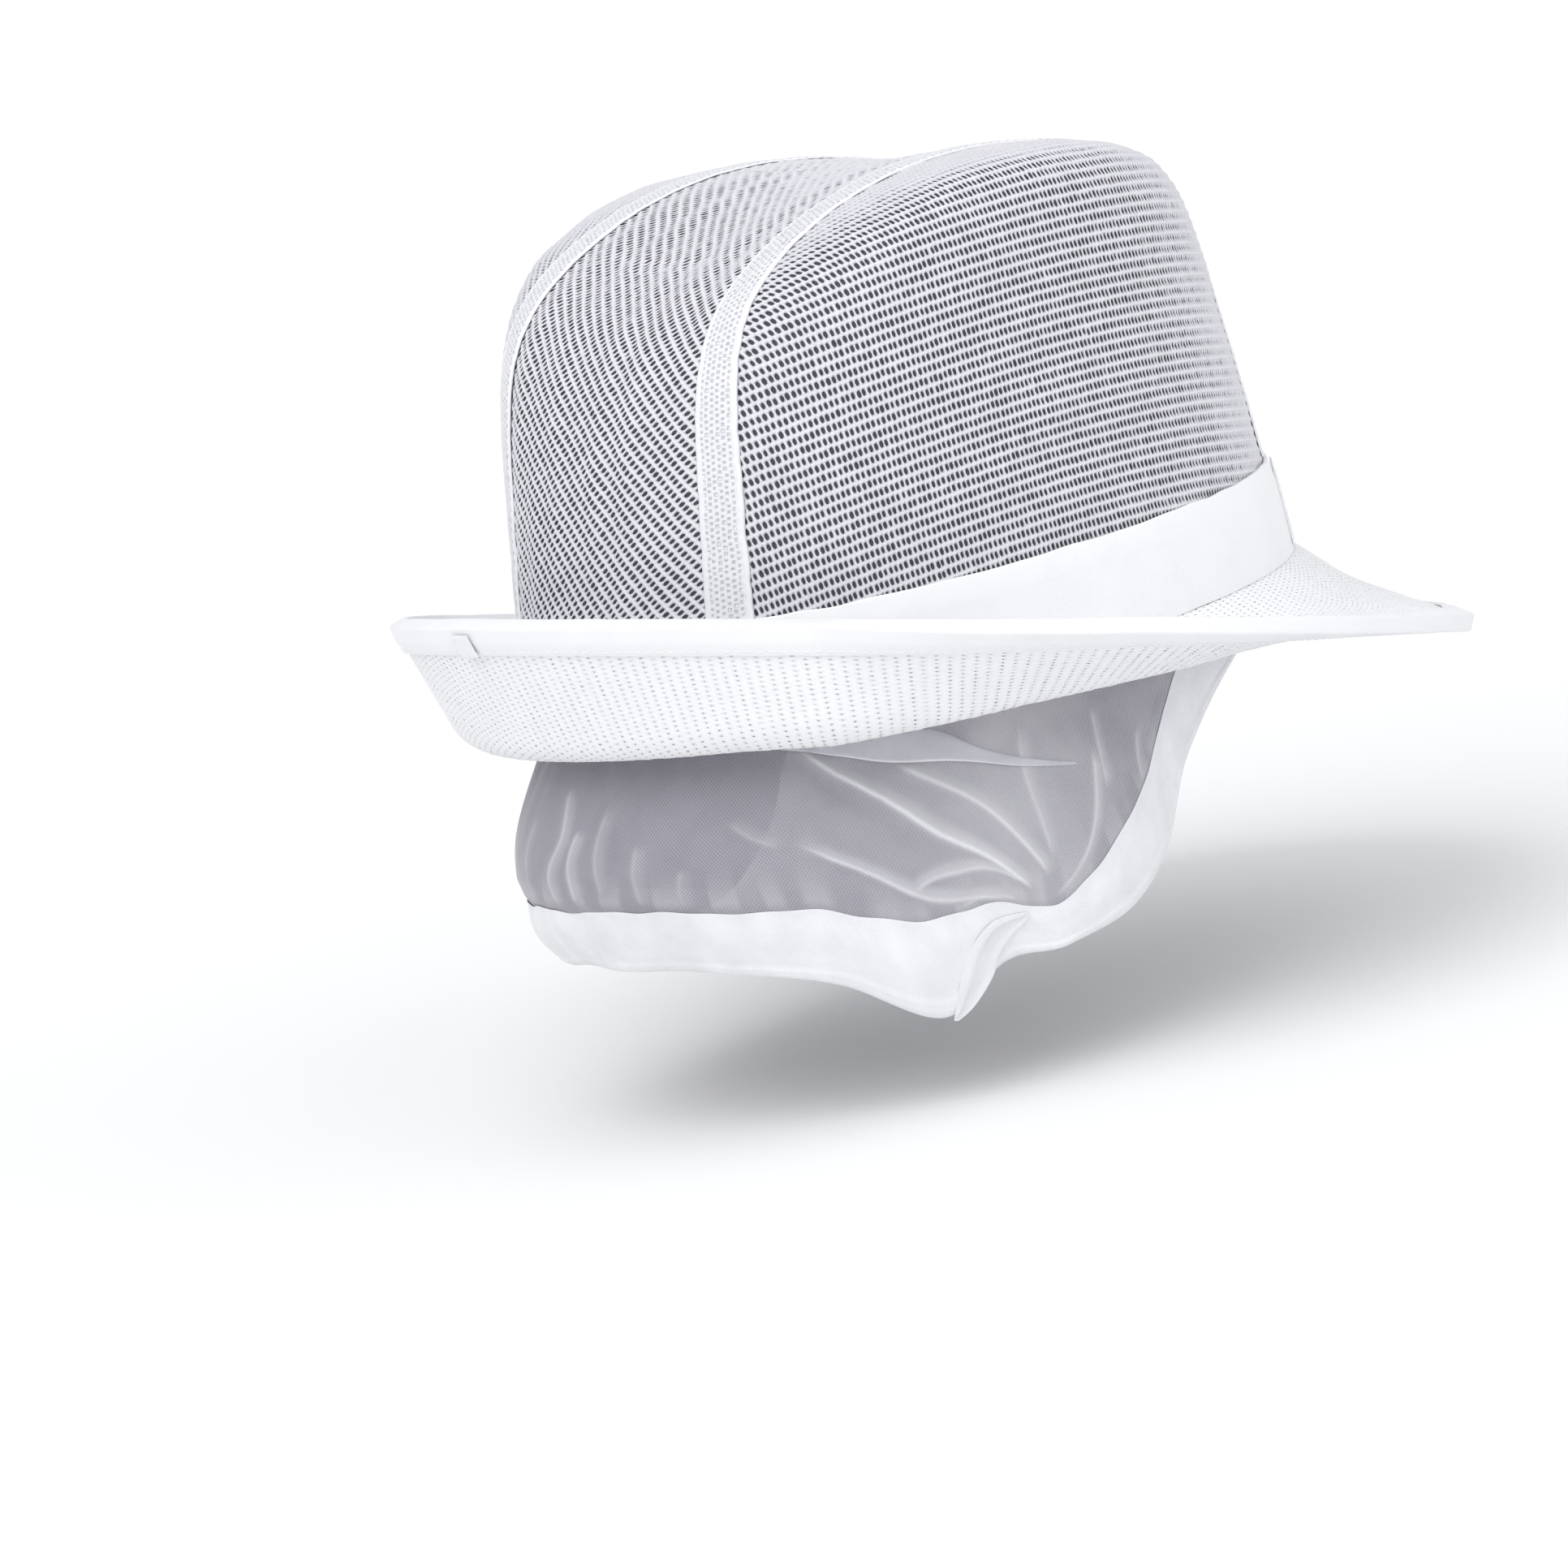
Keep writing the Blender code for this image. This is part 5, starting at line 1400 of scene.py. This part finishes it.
def casing_mesh(mat, thread):
    """The folded hem: two soft legs round the elastic, drawn together at their upper border."""
    u = 0.985 * np.linspace(-1.0, 1.0, 1001)
    edge, up, out, width, _reach = hem_frame(u)
    slot = NET_T / 2.0 + CASING_GAP
    wall = slot + CASING_T
    share_up = [1.0, 0.93, 0.84, 0.72, 0.58, 0.44, 0.32, 0.22, 0.15, 0.10, 0.05]

    def leg(share, thick):
        close = min(max((share - 0.62) / 0.38, 0.0), 1.0)
        close = close * close * (3 - 2 * close)
        return (slot * (1 - close) + 0.05 * close) + thick * (1 - 0.75 * close)

    path = [(a, leg(a, CASING_T)) for a in share_up] + [(-0.022, wall * 0.45), (-0.022, -wall * 0.45)]
    path += [(a, -leg(a, CASING_T)) for a in share_up[::-1]]
    path += [(a, -leg(a, 0.0)) for a in (1.0, 0.84, 0.6, 0.35)] + [(0.06, -slot + 0.1), (0.06, slot - 0.1)]
    path += [(a, leg(a, 0.0)) for a in (0.35, 0.6, 0.84, 1.0)]
    path = rounded(np.array(path) * np.array([CASING_W, 1.0]), 0.45, 2)
    n = len(u)
    w1, w2 = noise1(n, 31, range(20, 90), closed=False), noise1(n, 32, range(20, 90), closed=False)
    w3 = noise1(n, 33, range(8, 40), closed=False)
    tip = noise1(n, 34, range(5, 34), closed=False)
    ridge_line = noise1(n, 36, range(3, 14), closed=False)
    drift = hem_drift(n)
    rows, uv, around, last = [], [], 0.0, None
    for a, off in path:
        share = a / CASING_W
        inside = min(max(share, 0.02), 0.98)
        body = math.sin(math.pi * inside) ** 0.7
        sign = 1.0 if off > 0 else -1.0
        wave = w1 if off > 0 else w2
        outside = abs(off) > leg(inside, 0.0) + 0.05
        puff = 0.0
        if outside:
            puff = sign * (0.09 * wave * body + 0.14 * w3 * body + 0.16 * np.exp(-(((share - 0.13 - 0.015 * ridge_line) / 0.035) ** 2)) - 0.10 * np.exp(-(((share - 0.21 - 0.015 * ridge_line) / 0.05) ** 2)))
        if off > 0:
            # it stands away from the net round the back of the left side
            puff = puff + 2.8 * body * np.exp(-(((u + 0.27) / 0.17) ** 2))
        length = share * width
        stretch = 0.55 * tip * np.clip((share - 0.8) / 0.2, 0, 1)
        lay = drift * np.clip(1.0 - share, 0.0, 1.0)
        at = edge + up * (length + stretch)[..., None] + out * (off + puff + lay)[..., None]
        rows.append(at)
        if last is not None:
            around += math.hypot(a - last[0], off - last[1])
        last = (a, off)
        run = np.concatenate([[0.0], np.cumsum(np.linalg.norm(np.diff(edge, axis=0), axis=1))])
        uv.append(np.stack([run, np.full(n, around)], -1))
    made = sweep("snood_hem", np.stack(rows, 1), closed=False, uv=np.stack(uv, 1).reshape(-1, 2))
    return paint(made, mat)


def hem_ear_mesh(name, mat, side):
    """The pinched corner of the hem: a soft flap of doubled cloth that folds over it from the ear down."""
    left = np.array([(0.578, 10.8), (0.545, 11.4), (0.508, 11.9), (0.474, 11.0), (0.450, 6.4), (0.430, -1.4)])
    right = np.array([(0.580, 10.2), (0.556, 7.6), (0.534, 5.2), (0.512, 2.6), (0.492, -0.5), (0.434, -1.9)])
    n, m = 90, 44
    a, b = np.linspace(0, 1, n), np.linspace(0, 1, m)
    t = np.linspace(0, 1, len(left))
    lines = [np.stack([smooth_through(a, t, q[:, k]) for k in range(2)], -1) for q in (left, right)]
    flat = lines[0][:, None, :] * (1 - b)[None, :, None] + lines[1][:, None, :] * b[None, :, None]
    A, B = np.meshgrid(a, b, indexing="ij")
    U, D = flat[..., 0] * side, flat[..., 1]
    edge, up, out, width, _reach = hem_frame(U)
    wall = NET_T / 2.0 + CASING_GAP + CASING_T
    # a rounded ridge down the left, a hollow beside it, and a free rolled edge on the right
    ends = np.clip(np.minimum(A / 0.12, (1.02 - A) / 0.10), 0, 1)
    shape = 0.60 * np.exp(-(((B - 0.22) / 0.14) ** 2)) + 0.15 * np.sin(np.pi * B) + 0.70 * np.exp(-(((B - 0.88) / 0.13) ** 2)) - 0.8 * np.clip((B - 0.92) / 0.08, 0, 1) ** 2
    lift = 0.16 + (0.04 + shape) * ends - 0.30 * np.clip(1 - B / 0.10, 0, 1) - 0.25 * (1 - ends) * np.clip(1 - A / 0.12, 0, 1)
    at = edge + up * D[..., None] + out * (wall + lift)[..., None]
    uv = np.stack([U * 165.0, D], -1)
    made = to_mesh(name, at.reshape(-1, 3), grid_faces(n, m), uv=uv.reshape(-1, 2))
    return face_out(paint(made, mat), (0.0, 0.0, -0.04))


def elastic_mesh(mat):
    """Ribbed flat elastic that runs inside the hem."""
    u = 0.985 * np.linspace(-1.0, 1.0, 1401)[12:-12]
    edge, up, out, width, _reach = hem_frame(u)
    low = CASING_T + CASING_GAP + 0.25
    high = low + np.minimum(ELASTIC_H, width - low - 1.6)
    rows, uv = [], []
    ribs = 9
    n = len(u)
    across = np.linspace(0.0, 1.0, ribs * 4 + 1)
    crimp = 0.05 * np.cos(np.arange(n) * 1.9)
    outline = [(a, 1.0) for a in across] + [(a, -1.0) for a in across[::-1]]
    for k, (a, s) in enumerate(outline):
        rib = 0.17 + 0.10 * math.cos(2 * math.pi * a * ribs) * (-1.0)
        off = s * (rib + crimp * 0.6)
        if k in (0, len(across) - 1, len(across), len(outline) - 1):
            off = s * (0.08 + 0 * crimp)
        lay = hem_drift(1401)[12:-12] * np.clip(1.0 - (low + a * (high - low)) / width, 0.0, 1.0)
        rows.append(edge + up * (low + a * (high - low))[..., None] + out * (off + lay)[..., None])
        uv.append(np.stack([np.arange(n) * 0.42, np.full(n, a * 6.0 + (0 if s > 0 else 8))], -1))
    made = sweep("snood_elastic_band", np.stack(rows, 1), closed=False, uv=np.stack(uv, 1).reshape(-1, 2))
    return paint(made, mat)


def net_double_mesh(mat, side):
    """A loose fold of the net lying on its outer side, just below the brim."""
    top = smooth_path([(0.300, 0.030), (0.42, 0.040), (0.511, 0.088), (0.577, 0.205), (0.64, 0.275), (0.722, 0.350)], 40)
    low = smooth_path([(0.318, 0.060), (0.39, 0.105), (0.464, 0.170), (0.54, 0.232), (0.62, 0.294), (0.726, 0.362)], 40)
    n, m = 190, 46
    a = np.linspace(0, 1, n)
    b = np.linspace(0, 1, m)
    t = np.linspace(0, 1, 40)
    top = np.stack([np.interp(a, t, top[:, k]) for k in range(2)], -1)
    low = np.stack([np.interp(a, t, low[:, k]) for k in range(2)], -1)
    cloth = top[:, None, :] * (1 - b)[None, :, None] + low[:, None, :] * b[None, :, None]
    A, B = np.meshgrid(a, b, indexing="ij")
    U, V = cloth[..., 0] * side, cloth[..., 1]
    at, nrm, vb = net_base(U, V)
    folds, _doubled = net_folds(U, V, vb)
    ends = np.clip(np.minimum(A / 0.06, (1 - A) / 0.25), 0, 1)
    # the folded edge below is a soft roll that comes back to the net
    roll = np.sqrt(np.clip(1 - ((B - 0.55) / 0.55) ** 4, 0, 1))
    lift = 0.28 + (0.75 * roll + 0.12 * np.cos(22 * A + 4 * B)) * ends
    at = at + nrm * (folds + lift)[..., None]
    uv = np.stack([U * 165.0, V * 80.0], -1)
    crease = 0.55 * np.exp(-(((B - 0.97) / 0.035) ** 2)) * ends + 0.12
    made = to_mesh("snood_net_fold_" + ("right" if side > 0 else "left"), at.reshape(-1, 3), grid_faces(n, m), uv=uv.reshape(-1, 2), more={"crease": crease})
    return paint(made, mat)


def top_band_mesh(mat, thread):
    angle = np.radians(180.0 + np.linspace(-NET_HALF_ANGLE, NET_HALF_ANGLE, 560))
    low, high = TOPBAND_Z
    mid = 0.5 * (TOPBAND_OFF[0] + TOPBAND_OFF[1])
    half = 0.5 * (TOPBAND_OFF[1] - TOPBAND_OFF[0])
    path = rounded([(low, half), (0.5 * (low + high), half), (high, half), (high, -half), (0.5 * (low + high), -half), (low, -half)], 0.35, 3)
    n = len(angle)
    w = noise1(n, 51, range(8, 80), closed=False)
    rows, uv = [], []
    for z, off in path:
        share = (z - low) / (high - low)
        rows.append(round_crown_soft(angle, z + 0.12 * w * (1 - share), mid + off + 0.07 * w * math.sin(math.pi * min(max(share, 0), 1))))
        uv.append(np.stack([angle * 96.0, np.full(n, z + (0 if off > 0 else 30))], -1))
    made = sweep("snood_top_tape", np.stack(rows, 1), closed=False, uv=np.stack(uv, 1).reshape(-1, 2))
    paint(made, mat)
    sewn = []
    for off, s in ((mid + half, 1.0), (mid - half, -1.0)):
        for z in (low + 1.4, high - 1.6):
            line = round_crown_soft(angle, 0 * angle + z, off)
            sewn.append(paint(stitches("t_s", line, plan_vector(angle) * s, 2.2, 0.6, 0.14), thread))
    return join_meshes("snood_top_tape", [made, *sewn])


def tack_mesh(name, side, thread):
    """Bar tack: close zigzag of thread over two laid threads."""
    low, high = -6.3, 4.8
    centre = 180.0 + side * (NET_HALF_ANGLE + 3.2)
    half = 2.0
    n = 26
    rows = []
    rng = np.random.default_rng(7)
    for k in range(n):
        z = low + (high - low) * (k + 0.5) / n
        t = np.linspace(-1.0, 1.0, 9)
        a = np.radians(centre + side * half * t * (0.95 + 0.05 * rng.random()))
        zz = z + 0.34 * t * (1 if k % 2 else -1) * 0.5 + rng.normal(0, 0.03)
        off = -3.95 + 0.42 * (1 - t**2) ** 0.5
        rows.append(round_crown_soft(a, zz, off))
    for back in (-4.55,):
        for k in range(n // 2):
            z = low + (high - low) * (k + 0.5) / (n // 2)
            t = np.linspace(-1.0, 1.0, 9)
            a = np.radians(centre + side * half * t * 0.9)
            rows.append(round_crown_soft(a, 0 * t + z, back - 0.1 * (1 - t**2)))
    for t0 in (-0.45, 0.45):
        z = np.linspace(low, high, 9)
        rows.append(round_crown_soft(np.radians(centre + side * half * t0 + 0 * z), z, -4.1 + 0 * z))
    points, faces = tube(np.stack(rows, 0), 0.26, sides=6)
    return paint(to_mesh(name, points, faces), thread)


# ================================================================ the scene
def build():
    WHITE_C = (0.86, 0.865, 0.88)
    # painted shade: the crown mesh's back face is this darker grey, for the shade inside the crown
    inside = (0.45, 0.45, 0.48)
    # painted shade: a near-black sheet behind the crown mesh, for the shade inside the crown seen through the holes;
    # its inward face is a lighter grey
    painted_shade_mat = fabric("painted_shade_sheet", (0.085, 0.085, 0.10), rough=0.85, pitch=(0.22, 0.22), weave=0.4, sheen=0.1, inner=(0.60, 0.60, 0.62), distance=0.04)
    # painted shade: each hole's rim on the crown mesh and the seam strips turns darker, as shade in a recess
    mesh_mat = fabric("knitted_mesh", (0.84, 0.835, 0.87), rough=0.62, pitch=(0.26, 0.26), weave=0.35, rim_shade=(0.36, 0.355, 0.41), inner=inside, mottle=0.05, distance=0.08)
    centre_mat = fabric("knitted_mesh_centre", (0.84, 0.835, 0.87), rough=0.62, pitch=(0.26, 0.26), weave=0.35, rim_shade=(0.36, 0.355, 0.41), inner=inside, mottle=0.05, distance=0.08)
    strip_mat = fabric("tape_mesh", (0.85, 0.85, 0.87), rough=0.66, pitch=(0.3, 0.3), weave=0.4, rim_shade=(0.42, 0.42, 0.46), distance=0.07)
    under_mat = fabric("tape_under", (0.86, 0.86, 0.88), rough=0.75, pitch=(0.32, 0.32), weave=0.4, distance=0.06)
    plain_mat = fabric("plain_weave", WHITE_C, rough=0.7, pitch=(0.32, 0.32), weave=0.35, distance=0.06)
    band_mat = fabric("band_weave", (0.88, 0.885, 0.895), rough=0.62, pitch=(0.28, 0.28), weave=0.3, distance=0.05, sheen=0.3)
    sweat_mat = fabric("sweatband_weave", (0.84, 0.84, 0.85), rough=0.85, pitch=(0.5, 0.5), weave=0.6, distance=0.1, sheen=0.4)
    felt_mat = fabric("interlining_felt", (0.84, 0.84, 0.85), rough=0.95, pitch=(0.7, 0.9), weave=0.25, distance=0.1, sheen=0.5)
    # painted shade: the brim's hole rims are a little darker, as shade in a recess
    brim_mat = fabric("brim_mesh", (0.89, 0.893, 0.905), rough=0.66, pitch=(0.3, 0.3), weave=0.35, rim_shade=(0.80, 0.80, 0.82), distance=0.06)
    # painted shade: the sheer net is coloured dark grey, and its doubled fold a lighter grey, for the shaded space seen
    # through them; the cloth itself is white. Where the net lies double (its crease values) it is mixed towards near
    # white
    net_mat = fabric("sheer_net", (0.30, 0.29, 0.33), rough=0.5, pitch=(0.44, 0.52), weave=0.6, sheen=0.25, alpha=0.93, crease=0.12, grain=0.24, distance=0.10, mottle=0.06)
    fold_mat = fabric("sheer_net_double", (0.70, 0.705, 0.76), rough=0.5, pitch=(0.36, 0.42), weave=0.5, grain=0.08, sheen=0.3, alpha=0.62, crease=0.35, distance=0.10)
    hem_mat = fabric("hem_net", (0.87, 0.875, 0.90), rough=0.55, pitch=(0.5, 0.6), weave=0.45, sheen=0.3, alpha=0.9, distance=0.08)
    ear_mat = fabric("hem_net_ear", (0.86, 0.86, 0.89), rough=0.55, pitch=(0.5, 0.6), weave=0.45, sheen=0.3, alpha=0.80, distance=0.08)
    rubber_mat = fabric("elastic", (0.80, 0.80, 0.80), rough=0.6, pitch=(0.42, 0.33), weave=0.6, distance=0.09, sheen=0.1)
    thread = fabric("thread", (0.90, 0.90, 0.92), rough=0.45, pitch=(0.2, 0.2), weave=0.3, sheen=0.2, distance=0.03, cloth=False)

    pieces = []

    def add(obj, nodes, body="hat"):
        if body == "hat":
            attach(obj, "hat")
        else:
            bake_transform(obj)
        if nodes:
            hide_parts(*nodes)
        pieces.append(obj)
        return obj

    add(side_panel_mesh("side_panel_right", -1.0, mesh_mat, painted_shade_mat, 5), ["crown_side_panel_right"])
    add(side_panel_mesh("side_panel_left", 1.0, mesh_mat, painted_shade_mat, 6), ["crown_side_panel_left"])
    add(centre_panel_mesh(centre_mat, painted_shade_mat), ["crown_centre_panel"])
    add(seam_tape_mesh("seam_strip_right", -1.0, strip_mat, under_mat, thread, 21), ["seam_tape_right"])
    add(seam_tape_mesh("seam_strip_left", 1.0, strip_mat, under_mat, thread, 22), ["seam_tape_left"])
    add(ring_band("hat_band_cloth", (-0.50, BAND_Z[1]), (BAND_OFF[0] - 0.25, BAND_OFF[1] - 0.1), band_mat, 41, ripple=0.09, lean_in=0.5), ["hat_band"])

    def band_place(u, v, off):
        return round_crown_soft(np.radians(u), v, BAND_OFF[1] - 0.10 + off)

    add(lapped_end("hat_band_lap", band_place, (321.0, 326.5), (BAND_Z[0] + 0.4, BAND_Z[1] - 0.9), 0.6, band_mat, thread, 322.2, 61), ["hat_band_join"])
    add(ring_band("sweatband_cloth", SWEAT_Z, (SWEAT_OFF[0], SWEAT_OFF[1] + 0.05), sweat_mat, 43, ripple=0.08), ["sweatband"])

    low3 = -BRIM_GAP - 3 * BRIM_LAYER - 2 * BRIM_GAP
    add(brim_mesh_layer("brim_face_upper", -BRIM_GAP, -0.14, brim_mat, 71, True), ["brim_upper"])
    add(brim_mesh_layer("brim_face_lower", low3, -0.14, brim_mat, 72, False), ["brim_lower"])
    angle = np.linspace(0.0, 2.0 * math.pi, 480, endpoint=False)
    width = brim_value(angle, BRIM_WIDTH)
    rows, uv = [], []
    core_top = -BRIM_GAP - 0.28
    core_low = low3 + 0.28
    # many rows across the run, so that the felt follows the turn-up
    path = [(r, core_top) for r in np.linspace(0.3, 49.2, 40)] + [(r, core_low) for r in np.linspace(49.2, 0.3, 40)]
    rows = [on_brim(angle, 0 * angle + r * width / 50.0, off + brim_soft(angle, 0 * angle + r, width)) for r, off in path]
    uv = [np.stack([angle * 118.0, 0 * angle + r], -1) for r, _ in path]
    felt = sweep("brim_felt", np.stack(rows, 1), closed=True, uv=np.stack(uv, 1).reshape(-1, 2))
    add(paint(felt, felt_mat), ["brim_interlining"])
    add(binding_mesh(plain_mat, thread), ["brim_edge_binding"])

    lap_off = low3 - BINDING_GAP - BINDING_T - 0.4

    def lap_place(u, v, off):
        a = np.radians(u)
        w = brim_value(a, BRIM_WIDTH)
        return on_brim(a, w - v, lap_off - off + brim_soft(a, w - v, w))

    add(lapped_end("brim_binding_lap", lap_place, (178.6, 182.0), (0.3, BINDING_W - 0.2), 0.7, plain_mat, thread, 179.2, 62), ["brim_binding_join"])

    add(top_band_mesh(plain_mat, thread), ["snood_top_band"])
    net = snood_net_mesh(net_mat)
    fold = net_double_mesh(fold_mat, 1.0)
    hem = join_meshes("snood_hem", [casing_mesh(hem_mat, thread), hem_ear_mesh("hem_ear", ear_mat, 1.0)])
    band = elastic_mesh(rubber_mat)
    add(net, ["snood_net"], body="blend")
    add(fold, [], body="blend")
    add(hem, ["snood_hem_casing"], body="blend")
    add(band, ["snood_elastic"], body="blend")
    add(tack_mesh("snood_bar_tack_right", 1.0, thread), ["snood_tack_right"])
    add(tack_mesh("snood_bar_tack_left", -1.0, thread), ["snood_tack_left"])
    return pieces


def studio():
    scene = bpy.context.scene
    # floor
    size = 30.0
    z = -0.1040
    floor = bpy.data.meshes.new("floor")
    floor.from_pydata([(-size, -size, z), (size, -size, z), (size, size, z), (-size, size, z)], [], [(0, 1, 2, 3)])
    ground = bpy.data.objects.new("floor", floor)
    scene.collection.objects.link(ground)
    pale = bpy.data.materials.new("pale_floor")
    pale.use_nodes = True
    pale.node_tree.nodes["Principled BSDF"].inputs["Base Color"].default_value = (0.95, 0.95, 0.95, 1)
    pale.node_tree.nodes["Principled BSDF"].inputs["Roughness"].default_value = 0.9
    pale.node_tree.nodes["Principled BSDF"].inputs["Specular IOR Level"].default_value = 0.1
    floor.materials.append(pale)

    world = bpy.data.worlds.new("studio")
    scene.world = world
    world.use_nodes = True
    back = world.node_tree.nodes["Background"]
    back.inputs["Color"].default_value = (0.96, 0.975, 1.0, 1.0)
    back.inputs["Strength"].default_value = 0.72

    def sun(name, way, strength, spread, colour=(1, 1, 1)):
        light = bpy.data.lights.new(name, "SUN")
        light.energy = strength
        light.angle = math.radians(spread)
        light.color = colour
        obj = bpy.data.objects.new(name, light)
        obj.rotation_mode = "QUATERNION"
        obj.rotation_quaternion = Vector(way).to_track_quat("-Z", "Y")
        scene.collection.objects.link(obj)

    # key from above and a little behind the camera's left shoulder, and a weak one from the right
    sun("key", (0.25, -0.62, -0.80), 1.25, 50.0)
    sun("side", (0.75, 0.15, -0.45), 0.55, 60.0)

    camera = bpy.data.cameras.new("camera")
    eye = bpy.data.objects.new("camera", camera)
    scene.collection.objects.link(eye)
    phi, tau, lift = math.radians(38.0), math.radians(14.4), math.radians(0.3)
    yw = np.array([0.0, math.cos(tau), math.sin(tau)])
    zw = np.array([0.0, -math.sin(tau), math.cos(tau)])
    xw = np.array([1.0, 0.0, 0.0])
    c = -math.cos(phi) * math.cos(lift) * xw + math.sin(phi) * math.cos(lift) * yw + math.sin(lift) * zw
    up = zw - c * float(zw @ c)
    up /= np.linalg.norm(up)
    right = np.cross(-c, up)
    roll = math.radians(0.1)
    right, up = right * math.cos(roll) + up * math.sin(roll), up * math.cos(roll) - right * math.sin(roll)
    distance = 1.8
    aim = -0.0323 * right - 0.0393 * up
    place = c * distance
    forward = aim - place
    forward /= np.linalg.norm(forward)
    side = np.cross(forward, up)
    side /= np.linalg.norm(side)
    top = np.cross(side, forward)
    turn = Matrix((
        (side[0], top[0], -forward[0], place[0]),
        (side[1], top[1], -forward[1], place[1]),
        (side[2], top[2], -forward[2], place[2]),
        (0, 0, 0, 1),
    ))
    eye.matrix_world = turn
    camera.sensor_width = 36.0
    camera.lens = 162.0
    camera.clip_start, camera.clip_end = 0.05, 60.0
    scene.camera = eye
    scene.view_settings.view_transform = "Standard"
    scene.view_settings.look = "None"
    scene.view_settings.exposure = 0.0
    scene.view_settings.gamma = 1.0
    scene.cycles.transparent_max_bounces = 24


made = build()
studio()
